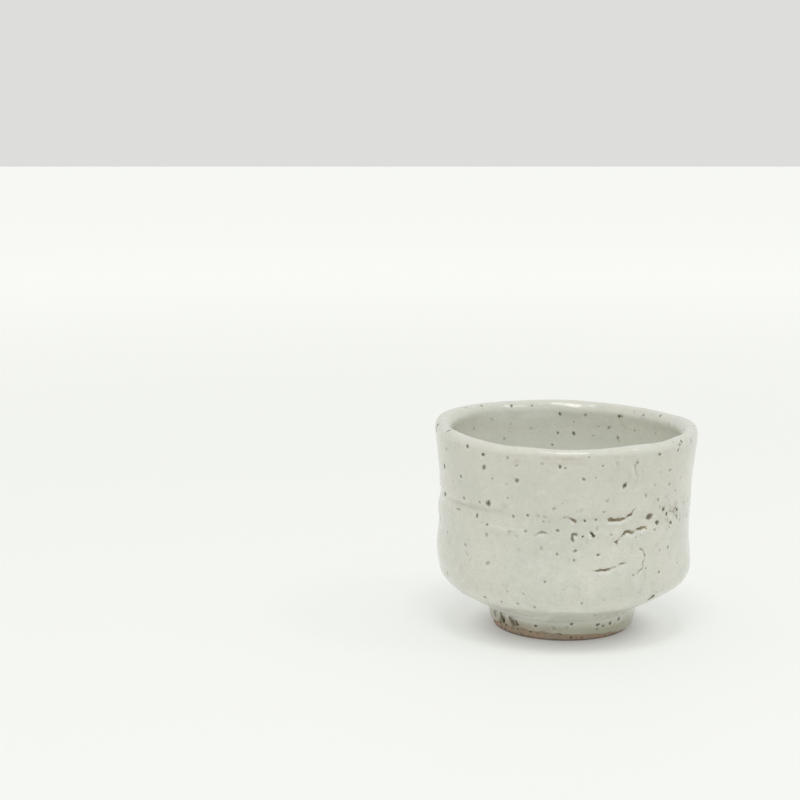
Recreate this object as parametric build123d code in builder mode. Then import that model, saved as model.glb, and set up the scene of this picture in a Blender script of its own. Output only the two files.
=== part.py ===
from build123d import *

import os
from math import cos, radians, sin, tan

# Small thrown stoneware sake cup with a crawled white glaze, in millimetres.
# +Z is up, the foot stands on Z = 0, and -Y is the side with the glaze cracks.
# The cup leans a little, so every turned section is drawn on one leaning plane:
# its local X is the radius and its local Y is the height along the cup's axis.

# Lean of the finished cup, towards +X and towards -Y, about a point on its axis
lean_right = 0.5
lean_front = 2.0
lean_pivot_height = 45.0

# Clay: foot ring and the hollow turned out of it
foot_radius = 17.1
foot_taper = 9.0
foot_junction_round = 2.4
foot_edge_round = 0.5
foot_overrun = 2.0
foot_ring_width = 3.9
recess_taper = 11.0
recess_depth = 4.6
recess_round = 1.6
recess_radius = foot_radius - foot_ring_width

# Clay: outside of the bowl, drawn in at the waist from the fullest part of the belly
underside_rise = 28.0
belly_radius = 31.4
belly_height = 18.2
belly_turn_radius = 7.6
waist_draw = 0.65
waist_height = 29.0
waist_radius = belly_radius - waist_draw

# Clay: rounded lip, the bevel inside it, and the inside
lip_setback = 0.2
lip_centre_radius = belly_radius - lip_setback
lip_centre_height = 50.2
lip_round = 1.3
lip_flare_outside = 8.0
lip_bevel_inside = 32.0
lip_bevel_drop = 1.2
lip_bevel_end_height = lip_centre_height - lip_bevel_drop
wall_thickness = 2.35
inner_flare = 0.9
inner_straight_height = 36.0
inner_turn_radius = 11.6
floor_thickness = 5.6
inner_radius = waist_radius - wall_thickness
floor_height = recess_depth + floor_thickness

# Glaze coats
outer_coat = 0.6
inner_coat = 0.6
recess_coat = 0.4
glaze_line_height = 2.0
glaze_line_tilt = 3.4
recess_glaze_line_height = 1.4

# Turning mark round the waist
groove_height = 33.6
groove_depth = 0.22
groove_tool_radius = 6.0

# Cracks where the glaze drew apart: place on the wall, opening, and path
# Each path runs across and up in millimetres from the crack's own place
crack_clearance = 3.0
cracks = [
    {"azimuth": -92.9, "height": 35.5, "opening": 0.35,
     "path": [(-1.7, 0.2), (0.0, 0.5), (1.7, -0.7)]},
    {"azimuth": -70.2, "height": 35.5, "opening": 0.85,
     "path": [(-3.6, -0.2), (-1.6, -0.6), (0.5, -0.7), (2.4, 0.3), (3.5, 1.1)]},
    {"azimuth": -64.2, "height": 31.4, "opening": 0.55,
     "path": [(-4.5, -1.8), (-3.0, 0.0), (-1.0, 0.2), (0.6, 0.1), (2.3, 0.9), (4.6, 0.9)]},
    {"azimuth": -74.6, "height": 23.4, "opening": 0.65,
     "path": [(-4.4, -0.2), (-2.2, -0.4), (0.0, -0.4), (2.2, 0.4), (4.3, 0.8)]},
    {"azimuth": -59.5, "height": 23.7, "opening": 0.30,
     "path": [(0.2, 3.2), (1.3, 1.7), (0.6, -0.6), (-0.3, -1.9), (-1.8, -3.2)]},
    {"azimuth": -105.1, "height": 31.8, "opening": 0.35,
     "path": [(-1.3, -0.2), (0.0, 0.2), (1.3, 0.0)]},
]

# Burst bubbles in the outer coat
pit_radius = 0.8
pit_depth = 0.45
pits = [
    {"azimuth": -91.4, "height": 31.1},
    {"azimuth": -83.2, "height": 31.6},
    {"azimuth": -55.7, "height": 34.7},
]

# Leaning planes: cup_section holds the turned profiles, cup_base lies square to the axis
leaning = Plane.XZ.rotated((lean_front, lean_right, 0))
pivot = Vector(0, 0, lean_pivot_height)
cup_foot = pivot - leaning.y_dir * lean_pivot_height
cup_section = Plane(cup_foot, x_dir=leaning.x_dir, z_dir=leaning.z_dir)
cup_base = Plane(cup_foot, x_dir=leaning.x_dir, z_dir=leaning.y_dir)
cup_axis = Axis(cup_foot, leaning.y_dir)
glaze_line = Plane((0, 0, glaze_line_height)).rotated((0, glaze_line_tilt, 0))
recess_glaze_line = Plane((0, 0, recess_glaze_line_height))


def outside_profile(coat):
    """Draw the outside from below the foot to the crest of the lip, a coat out from the clay."""
    rise = radians(underside_rise)
    taper = radians(foot_taper)
    flare = radians(lip_flare_outside)
    belly_centre = Vector(belly_radius - belly_turn_radius, belly_height)
    turn = belly_turn_radius + coat
    underside_end = belly_centre + Vector(sin(rise), -cos(rise)) * turn
    foot_side = foot_radius + coat / cos(taper)
    corner_height = (underside_end.Y + (foot_side - underside_end.X) * tan(rise)) / (1 - tan(taper) * tan(rise))
    corner = Vector(foot_side + corner_height * tan(taper), corner_height)
    foot_start = Vector(foot_side - foot_overrun * tan(taper), -foot_overrun)
    lip_centre = Vector(lip_centre_radius, lip_centre_height)
    lip_start = lip_centre + Vector(cos(flare), -sin(flare)) * (lip_round + coat)
    FilletPolyline(foot_start, corner, underside_end, radius=foot_junction_round - coat)
    CenterArc(belly_centre, turn, underside_rise - 90, 90 - underside_rise)
    Spline(
        (belly_radius + coat, belly_height),
        (waist_radius + coat, waist_height),
        lip_start,
        tangents=[(0, 1), (sin(flare), cos(flare))],
    )
    CenterArc(lip_centre, lip_round + coat, -lip_flare_outside, 90 + lip_flare_outside)
    return foot_start, lip_centre + Vector(0, lip_round + coat)


def inside_profile(coat):
    """Draw the inside from the crest of the lip to the middle of the floor, a coat in from the clay."""
    bevel = radians(lip_bevel_inside)
    lip_centre = Vector(lip_centre_radius, lip_centre_height)
    lip_end = lip_centre + Vector(-cos(bevel), sin(bevel)) * (lip_round + coat)
    turn = inner_turn_radius - coat
    turn_centre = Vector(inner_radius - inner_turn_radius, floor_height + inner_turn_radius)
    CenterArc(lip_centre, lip_round + coat, 90, 90 - lip_bevel_inside)
    Spline(
        lip_end,
        (inner_radius + inner_flare - coat, lip_bevel_end_height),
        (inner_radius - coat, inner_straight_height),
        tangents=[(-sin(bevel), -cos(bevel)), (0, -1)],
    )
    Line((inner_radius - coat, inner_straight_height), (inner_radius - coat, turn_centre.Y))
    CenterArc(turn_centre, turn, 0, -90)
    Line((turn_centre.X, floor_height + coat), (0, floor_height + coat))
    return lip_centre + Vector(0, lip_round + coat), Vector(0, floor_height + coat)


def recess_profile(coat):
    """Draw the hollow under the foot from its middle to below the ring, a coat in from the clay."""
    taper = radians(recess_taper)
    roof = recess_depth - coat
    side = recess_radius - coat / cos(taper)
    ring_start = Vector(side + foot_overrun * tan(taper), -foot_overrun)
    corner = Vector(side - roof * tan(taper), roof)
    FilletPolyline((0, roof), corner, ring_start, radius=recess_round - coat)
    return ring_start, Vector(0, roof)


def wall_plane(azimuth, height, radius):
    """Plane on the leaning wall that faces straight out, with local X running round to the right."""
    turn = radians(azimuth)
    outward = cup_base.x_dir * cos(turn) + cup_base.y_dir * sin(turn)
    around = cup_base.y_dir * cos(turn) - cup_base.x_dir * sin(turn)
    return Plane(cup_foot + outward * radius + cup_base.z_dir * height, x_dir=around, z_dir=outward)


def crack_edge(path, opening):
    """Points of one edge of a crack: the path moved sideways by half the opening, its ends kept."""
    run = Vector(*path[-1]) - Vector(*path[0])
    sideways = Vector(-run.Y, run.X).normalized() * (opening / 2)
    return [path[0]] + [Vector(*point) + sideways for point in path[1:-1]] + [path[-1]]


os.makedirs("parts", exist_ok=True)

# Thrown bowl and turned foot ring, one piece of clay
with BuildPart() as stoneware_body:
    with BuildSketch(cup_section) as clay_section:
        with BuildLine() as clay_outline:
            foot_start, _ = outside_profile(0)
            _, floor_middle = inside_profile(0)
            ring_start, recess_middle = recess_profile(0)
            Line(floor_middle, recess_middle)
            Line(ring_start, foot_start)
        make_face()
    revolve(axis=cup_axis)
    split(bisect_by=Plane.XY, keep=Keep.TOP)
    standing_ring = stoneware_body.faces().sort_by(Axis.Z)[0]
    fillet(standing_ring.edges(), radius=foot_edge_round)
stoneware_body.part.label = "stoneware_body"
export_step(stoneware_body.part, "parts/stoneware_body.step")

# Dipped coat over the outside, ending on a slanting line above the bare standing ring
with BuildPart() as outer_glaze:
    with BuildSketch(cup_section) as outer_coat_section:
        with BuildLine() as outer_coat_outline:
            clay_foot, clay_crest = outside_profile(0)
            coat_foot, coat_crest = outside_profile(outer_coat)
            Line(clay_foot, coat_foot)
            Line(clay_crest, coat_crest)
        make_face()
    revolve(axis=cup_axis)
    split(bisect_by=glaze_line, keep=Keep.TOP)
    with BuildSketch(cup_section) as groove_section:
        with Locations((waist_radius + outer_coat - groove_depth + groove_tool_radius, groove_height)):
            Circle(groove_tool_radius)
    revolve(axis=cup_axis, mode=Mode.SUBTRACT)
    for crack in cracks:
        crack_start = lip_centre_radius + lip_round + outer_coat + crack_clearance
        crack_reach = crack_start - waist_radius + crack_clearance
        with BuildSketch(wall_plane(crack["azimuth"], crack["height"], crack_start)):
            with BuildLine():
                Spline(*crack_edge(crack["path"], crack["opening"]))
                Spline(*crack_edge(crack["path"], -crack["opening"]))
            make_face()
        extrude(amount=-crack_reach, mode=Mode.SUBTRACT)
    for pit in pits:
        pit_centre = waist_radius + outer_coat - pit_depth + pit_radius
        with Locations(wall_plane(pit["azimuth"], pit["height"], pit_centre)):
            Sphere(pit_radius, mode=Mode.SUBTRACT)
outer_glaze.part.label = "outer_glaze"
export_step(outer_glaze.part, "parts/outer_glaze.step")

# Poured lining, meeting the outer coat along the crest of the lip
with BuildPart() as inner_glaze:
    with BuildSketch(cup_section) as inner_coat_section:
        with BuildLine() as inner_coat_outline:
            clay_crest, clay_floor = inside_profile(0)
            coat_crest, coat_floor = inside_profile(inner_coat)
            Line(clay_crest, coat_crest)
            Line(clay_floor, coat_floor)
        make_face()
    revolve(axis=cup_axis)
inner_glaze.part.label = "inner_glaze"
export_step(inner_glaze.part, "parts/inner_glaze.step")

# Thin coat in the hollow of the foot, wiped off the standing ring
with BuildPart() as foot_recess_glaze:
    with BuildSketch(cup_section) as recess_coat_section:
        with BuildLine() as recess_coat_outline:
            clay_ring, clay_roof = recess_profile(0)
            coat_ring, coat_roof = recess_profile(recess_coat)
            Line(clay_ring, coat_ring)
            Line(clay_roof, coat_roof)
        make_face()
    revolve(axis=cup_axis)
    split(bisect_by=recess_glaze_line, keep=Keep.TOP)
foot_recess_glaze.part.label = "foot_recess_glaze"
export_step(foot_recess_glaze.part, "parts/foot_recess_glaze.step")
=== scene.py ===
import math

import bmesh
import bpy
import numpy as np
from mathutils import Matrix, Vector, noise


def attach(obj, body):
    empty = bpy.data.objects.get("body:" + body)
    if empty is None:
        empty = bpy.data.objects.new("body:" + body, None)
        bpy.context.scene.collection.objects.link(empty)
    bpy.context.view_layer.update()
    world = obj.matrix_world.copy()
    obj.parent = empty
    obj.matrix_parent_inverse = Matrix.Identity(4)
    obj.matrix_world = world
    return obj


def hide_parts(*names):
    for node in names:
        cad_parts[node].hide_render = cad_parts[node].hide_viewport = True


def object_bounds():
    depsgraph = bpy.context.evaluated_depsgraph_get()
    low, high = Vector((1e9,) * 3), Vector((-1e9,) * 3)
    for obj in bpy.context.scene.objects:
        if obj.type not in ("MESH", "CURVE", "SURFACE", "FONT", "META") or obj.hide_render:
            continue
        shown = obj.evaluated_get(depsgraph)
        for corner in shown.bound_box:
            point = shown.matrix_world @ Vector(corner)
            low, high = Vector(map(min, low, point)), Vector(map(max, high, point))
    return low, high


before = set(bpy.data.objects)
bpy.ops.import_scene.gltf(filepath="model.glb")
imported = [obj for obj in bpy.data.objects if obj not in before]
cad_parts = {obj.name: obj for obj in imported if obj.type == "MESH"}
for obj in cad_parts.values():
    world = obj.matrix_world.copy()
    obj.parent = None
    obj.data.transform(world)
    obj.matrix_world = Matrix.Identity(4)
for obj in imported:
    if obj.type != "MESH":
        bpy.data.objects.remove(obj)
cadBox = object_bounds()
print("frame loaded:", sorted(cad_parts))

metresPerMillimetre = 0.001

cupForm = {  # millimetres and degrees, the turned sizes of the cup
    "leanRight": 0.5, "leanFront": 2.0, "leanPivot": 45.0,
    "footRadius": 17.1, "footTaper": 9.0, "junctionRound": 2.4, "ringEdgeRound": 0.5,
    "ringWidth": 3.9, "recessTaper": 11.0, "recessDepth": 4.6, "recessRound": 1.6,
    "undersideRise": 28.0, "bellyRadius": 31.4, "bellyHeight": 18.2, "bellyTurn": 7.6,
    "waistDraw": 0.6, "waistHeight": 27.5, "waistWay": (0.01, 1),
    "lipSetback": 0.42, "lipHeight": 50.2, "lipRound": 1.3, "lipFlareOut": 9.0, "lipFlareIn": 32.0,
    "wall": 2.35, "innerFlare": 0.9, "straightHeight": 36.0, "bevelRound": 1.1, "innerTurn": 11.6,
    "floorHeight": 10.2,
}

handShape = {  # what the hands and the kiln did to the turned form
    "dents": [  # place, spread in degrees, reach in mm, and push outwards in mm
        {"azimuth": 180, "height": 38, "spread": 40, "reach": 3.5, "push": -0.20},
        {"azimuth": 180, "height": 29.8, "spread": 45, "reach": 3.4, "push": 0.38},
        {"azimuth": 180, "height": 22.8, "spread": 40, "reach": 2.8, "push": 0.28},
        {"azimuth": 180, "height": 17, "spread": 40, "reach": 2.0, "push": -0.28},
        {"azimuth": 180, "height": 13.8, "spread": 40, "reach": 1.6, "push": 0.16},
        {"azimuth": 205, "height": 8.8, "spread": 40, "reach": 2.8, "push": 0.8},
        {"azimuth": 180, "height": 4, "spread": 45, "reach": 3.0, "push": 0.25},
        {"azimuth": -8, "height": 33.2, "spread": 34, "reach": 2.0, "push": 0.5},
        {"azimuth": 0, "height": 17, "spread": 40, "reach": 3.5, "push": 0.20},
        {"azimuth": -15, "height": 9.2, "spread": 35, "reach": 2.4, "push": -2.5},
        {"azimuth": -38, "height": 11.9, "spread": 24, "reach": 1.9, "push": -1.0},
        {"azimuth": -5, "height": 3.5, "spread": 45, "reach": 3.0, "push": 0.9},
        {"azimuth": 90, "height": 22, "spread": 50, "reach": 8.0, "push": -0.3},
        {"azimuth": -125, "height": 42, "spread": 30, "reach": 6.0, "push": 0.12},
    ],
    "rimStart": 30.0, "rimLift": 0.17, "rimTilt": -0.14, "rimSaddle": (0.21, -0.31),
    "rimRipples": [(5, 1.0, 0.08), (9, 0.0, 0.048)],  # count round the cup, phase and rise
    "rimCap": 0.03, "rimSoft": 0.5, "levelReach": 5.0,
}


def smoothStep(low, high, value):
    ramp = np.clip((value - low) / (high - low), 0.0, 1.0)
    return ramp * ramp * (3.0 - 2.0 * ramp)


def bell(value, middle, reach):
    return np.exp(-((value - middle) / reach) ** 2)


def waves(angle, terms):  # each term has its count round the cup, phase and size
    return sum(size * np.sin(count * angle + phase) for count, phase, size in terms)


def wrapAngle(angle):
    return (angle + math.pi) % (2.0 * math.pi) - math.pi


def hump(place, spot):  # 1 on a spot, fading over its spread in degrees and its reach in mm
    around = np.degrees(wrapAngle(place["angle"] - math.radians(spot["azimuth"])))
    key = "past" if "past" in spot else "height"
    return bell(around, 0.0, spot["spread"]) * bell(place[key], spot[key], spot["reach"])


def leaningAxes():
    right, front = math.radians(cupForm["leanRight"]), math.radians(cupForm["leanFront"])
    side, level = math.sin(right), math.cos(right)
    across = np.array([level, math.sin(front) * side, -math.cos(front) * side])
    back = np.array([0.0, math.cos(front), math.sin(front)])
    up = np.array([side, -math.sin(front) * level, math.cos(front) * level])
    foot = np.array([0.0, 0.0, cupForm["leanPivot"]]) - up * cupForm["leanPivot"]
    return foot, across, back, up


footPoint, acrossAxis, backAxis, upAxis = leaningAxes()


def placeOnCup(angle, radius, height):  # from round the axis, out and up, to the row frame in mm
    return (footPoint + np.outer(radius * np.cos(angle), acrossAxis)
            + np.outer(radius * np.sin(angle), backAxis) + np.outer(height, upAxis))


def handWork(angle, radius, height):  # the turned form pushed out of true
    newRadius = radius.copy()
    for dent in handShape["dents"]:
        share = hump({"angle": angle, "height": height}, dent)
        newRadius += dent["push"] * share * radius / cupForm["bellyRadius"]
    saddle, crossSaddle = handShape["rimSaddle"]
    wave = handShape["rimLift"] + handShape["rimTilt"] * np.cos(angle) + waves(angle, handShape["rimRipples"])
    wave += saddle * np.cos(2 * angle) + crossSaddle * np.sin(2 * angle)
    newHeight = height + wave * smoothStep(handShape["rimStart"], cupForm["lipHeight"], height)
    return newRadius, newHeight


def footLean(angle, radius):  # how far the foot's plane stands above the table on each side
    return placeOnCup(angle, radius, np.zeros_like(radius))[:, 2]


def shapedCup(angle, radius, height):  # leaning cup with its standing ring rubbed down level
    radius, height = handWork(angle, radius, height)
    height = height - footLean(angle, radius) * (1.0 - smoothStep(0.0, handShape["levelReach"], height))
    return placeOnCup(angle, radius, height)


# outlines of the clay in section, as radius and height
sectionSteps = {"foot": 30, "bevel": 12, "wall": 20, "floor": 30, "roof": 20, "hollow": 16, "ring": 24,
                "curve": 60, "arc": 6, "arcSpan": 8.0}  # points on each stretch


def arcPoints(centre, radius, start, end):
    steps = max(sectionSteps["arc"], int(abs(end - start) * radius / sectionSteps["arcSpan"]))
    turn = np.radians(np.linspace(start, end, steps))
    return np.stack([centre[0] + radius * np.cos(turn), centre[1] + radius * np.sin(turn)], 1)


def curvePoints(start, startWay, end, endWay):  # cubic between two points and directions
    start, end = np.array(start), np.array(end)
    reach = np.linalg.norm(end - start)
    startWay = np.array(startWay) / np.linalg.norm(startWay) * reach
    endWay = np.array(endWay) / np.linalg.norm(endWay) * reach
    t = np.linspace(0.0, 1.0, sectionSteps["curve"])[:, None]
    return ((2 * t ** 3 - 3 * t ** 2 + 1) * start + (t ** 3 - 2 * t ** 2 + t) * startWay
            + (3 * t ** 2 - 2 * t ** 3) * end + (t ** 3 - t ** 2) * endWay)


def lipCentre():
    return np.array([cupForm["bellyRadius"] - cupForm["lipSetback"], cupForm["lipHeight"]])


def outsideSection():  # foot ring up to the crest of the lip
    form = cupForm
    rise, taper = math.radians(form["undersideRise"]), math.radians(form["footTaper"])
    flare = math.radians(form["lipFlareOut"])
    bellyCentre = np.array([form["bellyRadius"] - form["bellyTurn"], form["bellyHeight"]])
    undersideEnd = bellyCentre + form["bellyTurn"] * np.array([math.sin(rise), -math.cos(rise)])
    cornerHeight = ((undersideEnd[1] + (form["footRadius"] - undersideEnd[0]) * math.tan(rise))
                    / (1.0 - math.tan(taper) * math.tan(rise)))
    corner = np.array([form["footRadius"] + cornerHeight * math.tan(taper), cornerHeight])
    footWay = np.array([math.sin(taper), math.cos(taper)])
    footSide = np.array([math.cos(taper), -math.sin(taper)])
    cut = form["junctionRound"] * math.tan((math.pi / 2 - taper - rise) / 2)
    roundCentre = corner - footWay * cut + form["junctionRound"] * footSide
    waist = (form["bellyRadius"] - form["waistDraw"], form["waistHeight"])
    lipStart = lipCentre() + form["lipRound"] * np.array([math.cos(flare), -math.sin(flare)])
    return np.concatenate([
        np.linspace((form["footRadius"], 0.0), corner - footWay * cut, sectionSteps["foot"]),
        arcPoints(roundCentre, form["junctionRound"], 180 - form["footTaper"], 90 + form["undersideRise"]),
        arcPoints(bellyCentre, form["bellyTurn"], form["undersideRise"] - 90, 0),
        curvePoints((form["bellyRadius"], form["bellyHeight"]), (0, 1), waist, form["waistWay"]),
        curvePoints(waist, form["waistWay"], lipStart, (math.sin(flare), math.cos(flare))),
        arcPoints(lipCentre(), form["lipRound"], -form["lipFlareOut"], 90),
    ])


def insideSection():  # crest of the lip down to the middle of the floor
    form = cupForm
    flare = math.radians(form["lipFlareIn"])
    lipEnd = lipCentre() + form["lipRound"] * np.array([-math.cos(flare), math.sin(flare)])
    innerRadius = form["bellyRadius"] - form["waistDraw"] - form["wall"]
    turnCentre = (innerRadius - form["innerTurn"], form["floorHeight"] + form["innerTurn"])
    bevelRadius = innerRadius + form["innerFlare"]
    bevelWay = np.array([-math.sin(flare), -math.cos(flare)])
    bevelFoot = lipEnd + bevelWay * (lipEnd[0] - bevelRadius) / math.sin(flare)
    wallFoot = np.array([innerRadius, form["straightHeight"]])
    wallWay = (wallFoot - bevelFoot) / np.linalg.norm(wallFoot - bevelFoot)
    draw = math.degrees(math.atan2(-wallWay[0], -wallWay[1]))
    cut = form["bevelRound"] * math.tan(math.radians(form["lipFlareIn"] - draw) / 2)
    bevelCentre = bevelFoot + wallWay * cut + form["bevelRound"] * np.array([-wallWay[1], wallWay[0]])
    floorEdge = (turnCentre[0], form["floorHeight"])
    return np.concatenate([
        arcPoints(lipCentre(), form["lipRound"], 90, 180 - form["lipFlareIn"]),
        np.linspace(lipEnd, bevelFoot - bevelWay * cut, sectionSteps["bevel"]),
        arcPoints(bevelCentre, form["bevelRound"], 180 - form["lipFlareIn"], 180 - draw),
        curvePoints(bevelFoot + wallWay * cut, wallWay, wallFoot, (0, -1)),
        np.linspace(wallFoot, (innerRadius, turnCentre[1]), sectionSteps["wall"]),
        arcPoints(turnCentre, form["innerTurn"], 0, -90),
        np.linspace(floorEdge, (0.0, form["floorHeight"]), sectionSteps["floor"]),
    ])


def recessSection():  # middle of the hollow under the foot, out to the standing ring
    form = cupForm
    taper = math.radians(form["recessTaper"])
    ringInside = form["footRadius"] - form["ringWidth"]
    corner = np.array([ringInside - form["recessDepth"] * math.tan(taper), form["recessDepth"]])
    cut = form["recessRound"] * math.tan((math.pi / 2 - taper) / 2)
    downWay = np.array([math.sin(taper), -math.cos(taper)])
    roundCentre = corner + np.array([-cut, -form["recessRound"]])
    return np.concatenate([
        np.linspace((0.0, form["recessDepth"]), corner - (cut, 0.0), sectionSteps["roof"]),
        arcPoints(roundCentre, form["recessRound"], 90, form["recessTaper"]),
        np.linspace(corner + downWay * cut, (ringInside, 0.0), sectionSteps["hollow"]),
    ])


def stepLengths(points):
    return np.linalg.norm(np.diff(points, axis=0), axis=1)


leastStep = 1e-6  # points closer than this are one


def sectionTable(points):  # run along a section, with the way that its surface faces
    points = points[np.concatenate([[True], stepLengths(points) > leastStep])]
    run = np.concatenate([[0.0], np.cumsum(stepLengths(points))])
    way = np.gradient(points, run, axis=0)
    way /= np.linalg.norm(way, axis=1)[:, None]
    return {"run": run, "radius": points[:, 0], "height": points[:, 1],
            "out": way[:, 1], "upward": -way[:, 0]}


def readSection(table, run):  # radius, height, and the way out and upward, at each run
    return [np.interp(run, table["run"], table[key]) for key in ("radius", "height", "out", "upward")]


seedShift = (17.3, 5.1, 9.7)  # how far apart two seeds read the noise


def noiseField(points, size, seed):  # smooth noise between -1 and 1, one value a point, size in mm
    shift = Vector([seed * away for away in seedShift])
    return np.array([noise.noise(Vector(point) / size + shift) for point in points])


def noiseLayers(points, layers):  # each layer has its share, size in mm and seed
    return sum(share * noiseField(points, size, seed) for share, size, seed in layers)


seamAngle = math.radians(5)  # where each wrapped sheet closes


def sheetGrid(marks, columns):  # flat sheet of quads: x goes once round the cup, y along the marks
    angles = np.linspace(seamAngle - 2.0 * math.pi, seamAngle, columns + 1)
    x, y = np.meshgrid(angles * cupForm["bellyRadius"], marks)
    wide = columns + 1
    sheet = bmesh.new()
    verts = [sheet.verts.new((across, along, 0.0)) for across, along in zip(x.ravel(), y.ravel())]
    for first in (row * wide + i for row in range(len(marks) - 1) for i in range(columns)):
        sheet.faces.new([verts[i] for i in (first, first + 1, first + wide + 1, first + wide)])
    sheet.verts.index_update()
    return sheet


def flatPlaces(sheet):
    return np.array([vertex.co[:2] for vertex in sheet.verts])


def refineSheet(sheet, distanceTo, limits):  # halve the quads near marks, once for each limit in mm
    for limit in limits:
        centres = np.array([face.calc_center_median()[:2] for face in sheet.faces])
        near = distanceTo(centres) < limit
        edges = {edge for face, hit in zip(sheet.faces, near) if hit for edge in face.edges}
        bmesh.ops.subdivide_edges(sheet, edges=list(edges), cuts=1, use_grid_fill=True)


def linkPiece(name, mesh):
    piece = bpy.data.objects.new(name, mesh)
    bpy.context.collection.objects.link(piece)
    return piece


weldReach = {"seam": 2e-6, "sliver": 1e-7}  # metres


def closedMesh(name, sheet, points, marks):  # the sheet wrapped round the cup, its seam and poles closed
    for vertex, point in zip(sheet.verts, points * metresPerMillimetre):
        vertex.co = point
    layers = {key: sheet.verts.layers.float.new(key) for key in marks}
    for key, layer in layers.items():
        for vertex, value in zip(sheet.verts, marks[key]):
            vertex[layer] = float(value)
    bmesh.ops.remove_doubles(sheet, verts=sheet.verts, dist=weldReach["seam"])
    bmesh.ops.dissolve_degenerate(sheet, edges=sheet.edges, dist=weldReach["sliver"])
    bmesh.ops.triangulate(sheet, faces=[face for face in sheet.faces if len(face.verts) > 4])
    bmesh.ops.recalc_face_normals(sheet, faces=sheet.faces)
    for face in sheet.faces:
        face.smooth = True
    mesh = bpy.data.meshes.new(name)
    sheet.to_mesh(mesh)
    triangles = sum(len(face.verts) - 2 for face in sheet.faces)
    openEdges = sum(1 for edge in sheet.edges if not edge.is_manifold)
    sheet.free()
    print(name, "triangles", triangles, "open edges", openEdges)
    return linkPiece(name, mesh)


def stepMarks(start, end, spacing):
    return np.linspace(start, end, max(2, int(round(abs(end - start) / spacing)) + 1))


def bendMarks(table, longest, turn=15.0):  # few rows on straight stretches, more where the section bends
    bend = np.abs(np.diff(np.unwrap(np.arctan2(table["upward"], table["out"]))))
    cost = np.concatenate([[0.0], np.cumsum(np.diff(table["run"]) / longest + np.degrees(bend) / turn)])
    return np.interp(np.linspace(0.0, cost[-1], int(math.ceil(cost[-1])) + 1), cost, table["run"])


def roundedEdge(share):  # quarter round, from 0 at the edge to 1
    return np.sqrt(np.clip(1.0 - (1.0 - share) ** 2, 0.0, 1.0))


def lineShares(line):  # share of a line's length done at each of its points, and the whole length
    done = np.concatenate([[0.0], np.cumsum(stepLengths(line))])
    return done / done[-1], done[-1]


def alongLine(points, line):  # distance to a line of points, the share run along it, and which side
    best = np.full(len(points), np.inf)
    share, side = np.zeros(len(points)), np.zeros(len(points))
    shares, whole = lineShares(line)
    for start, end, done in zip(line[:-1], line[1:], shares):
        length = np.linalg.norm(end - start)
        way = (end - start) / length
        offset = points - start
        t = np.clip(offset @ way, 0.0, length)
        gap = offset - np.outer(t, way)
        away = np.linalg.norm(gap, axis=1)
        closer = away < best
        best = np.where(closer, away, best)
        share = np.where(closer, done + t / whole, share)
        side = np.where(closer, np.sign(-gap[:, 1]), side)
    return best, share, side


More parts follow.
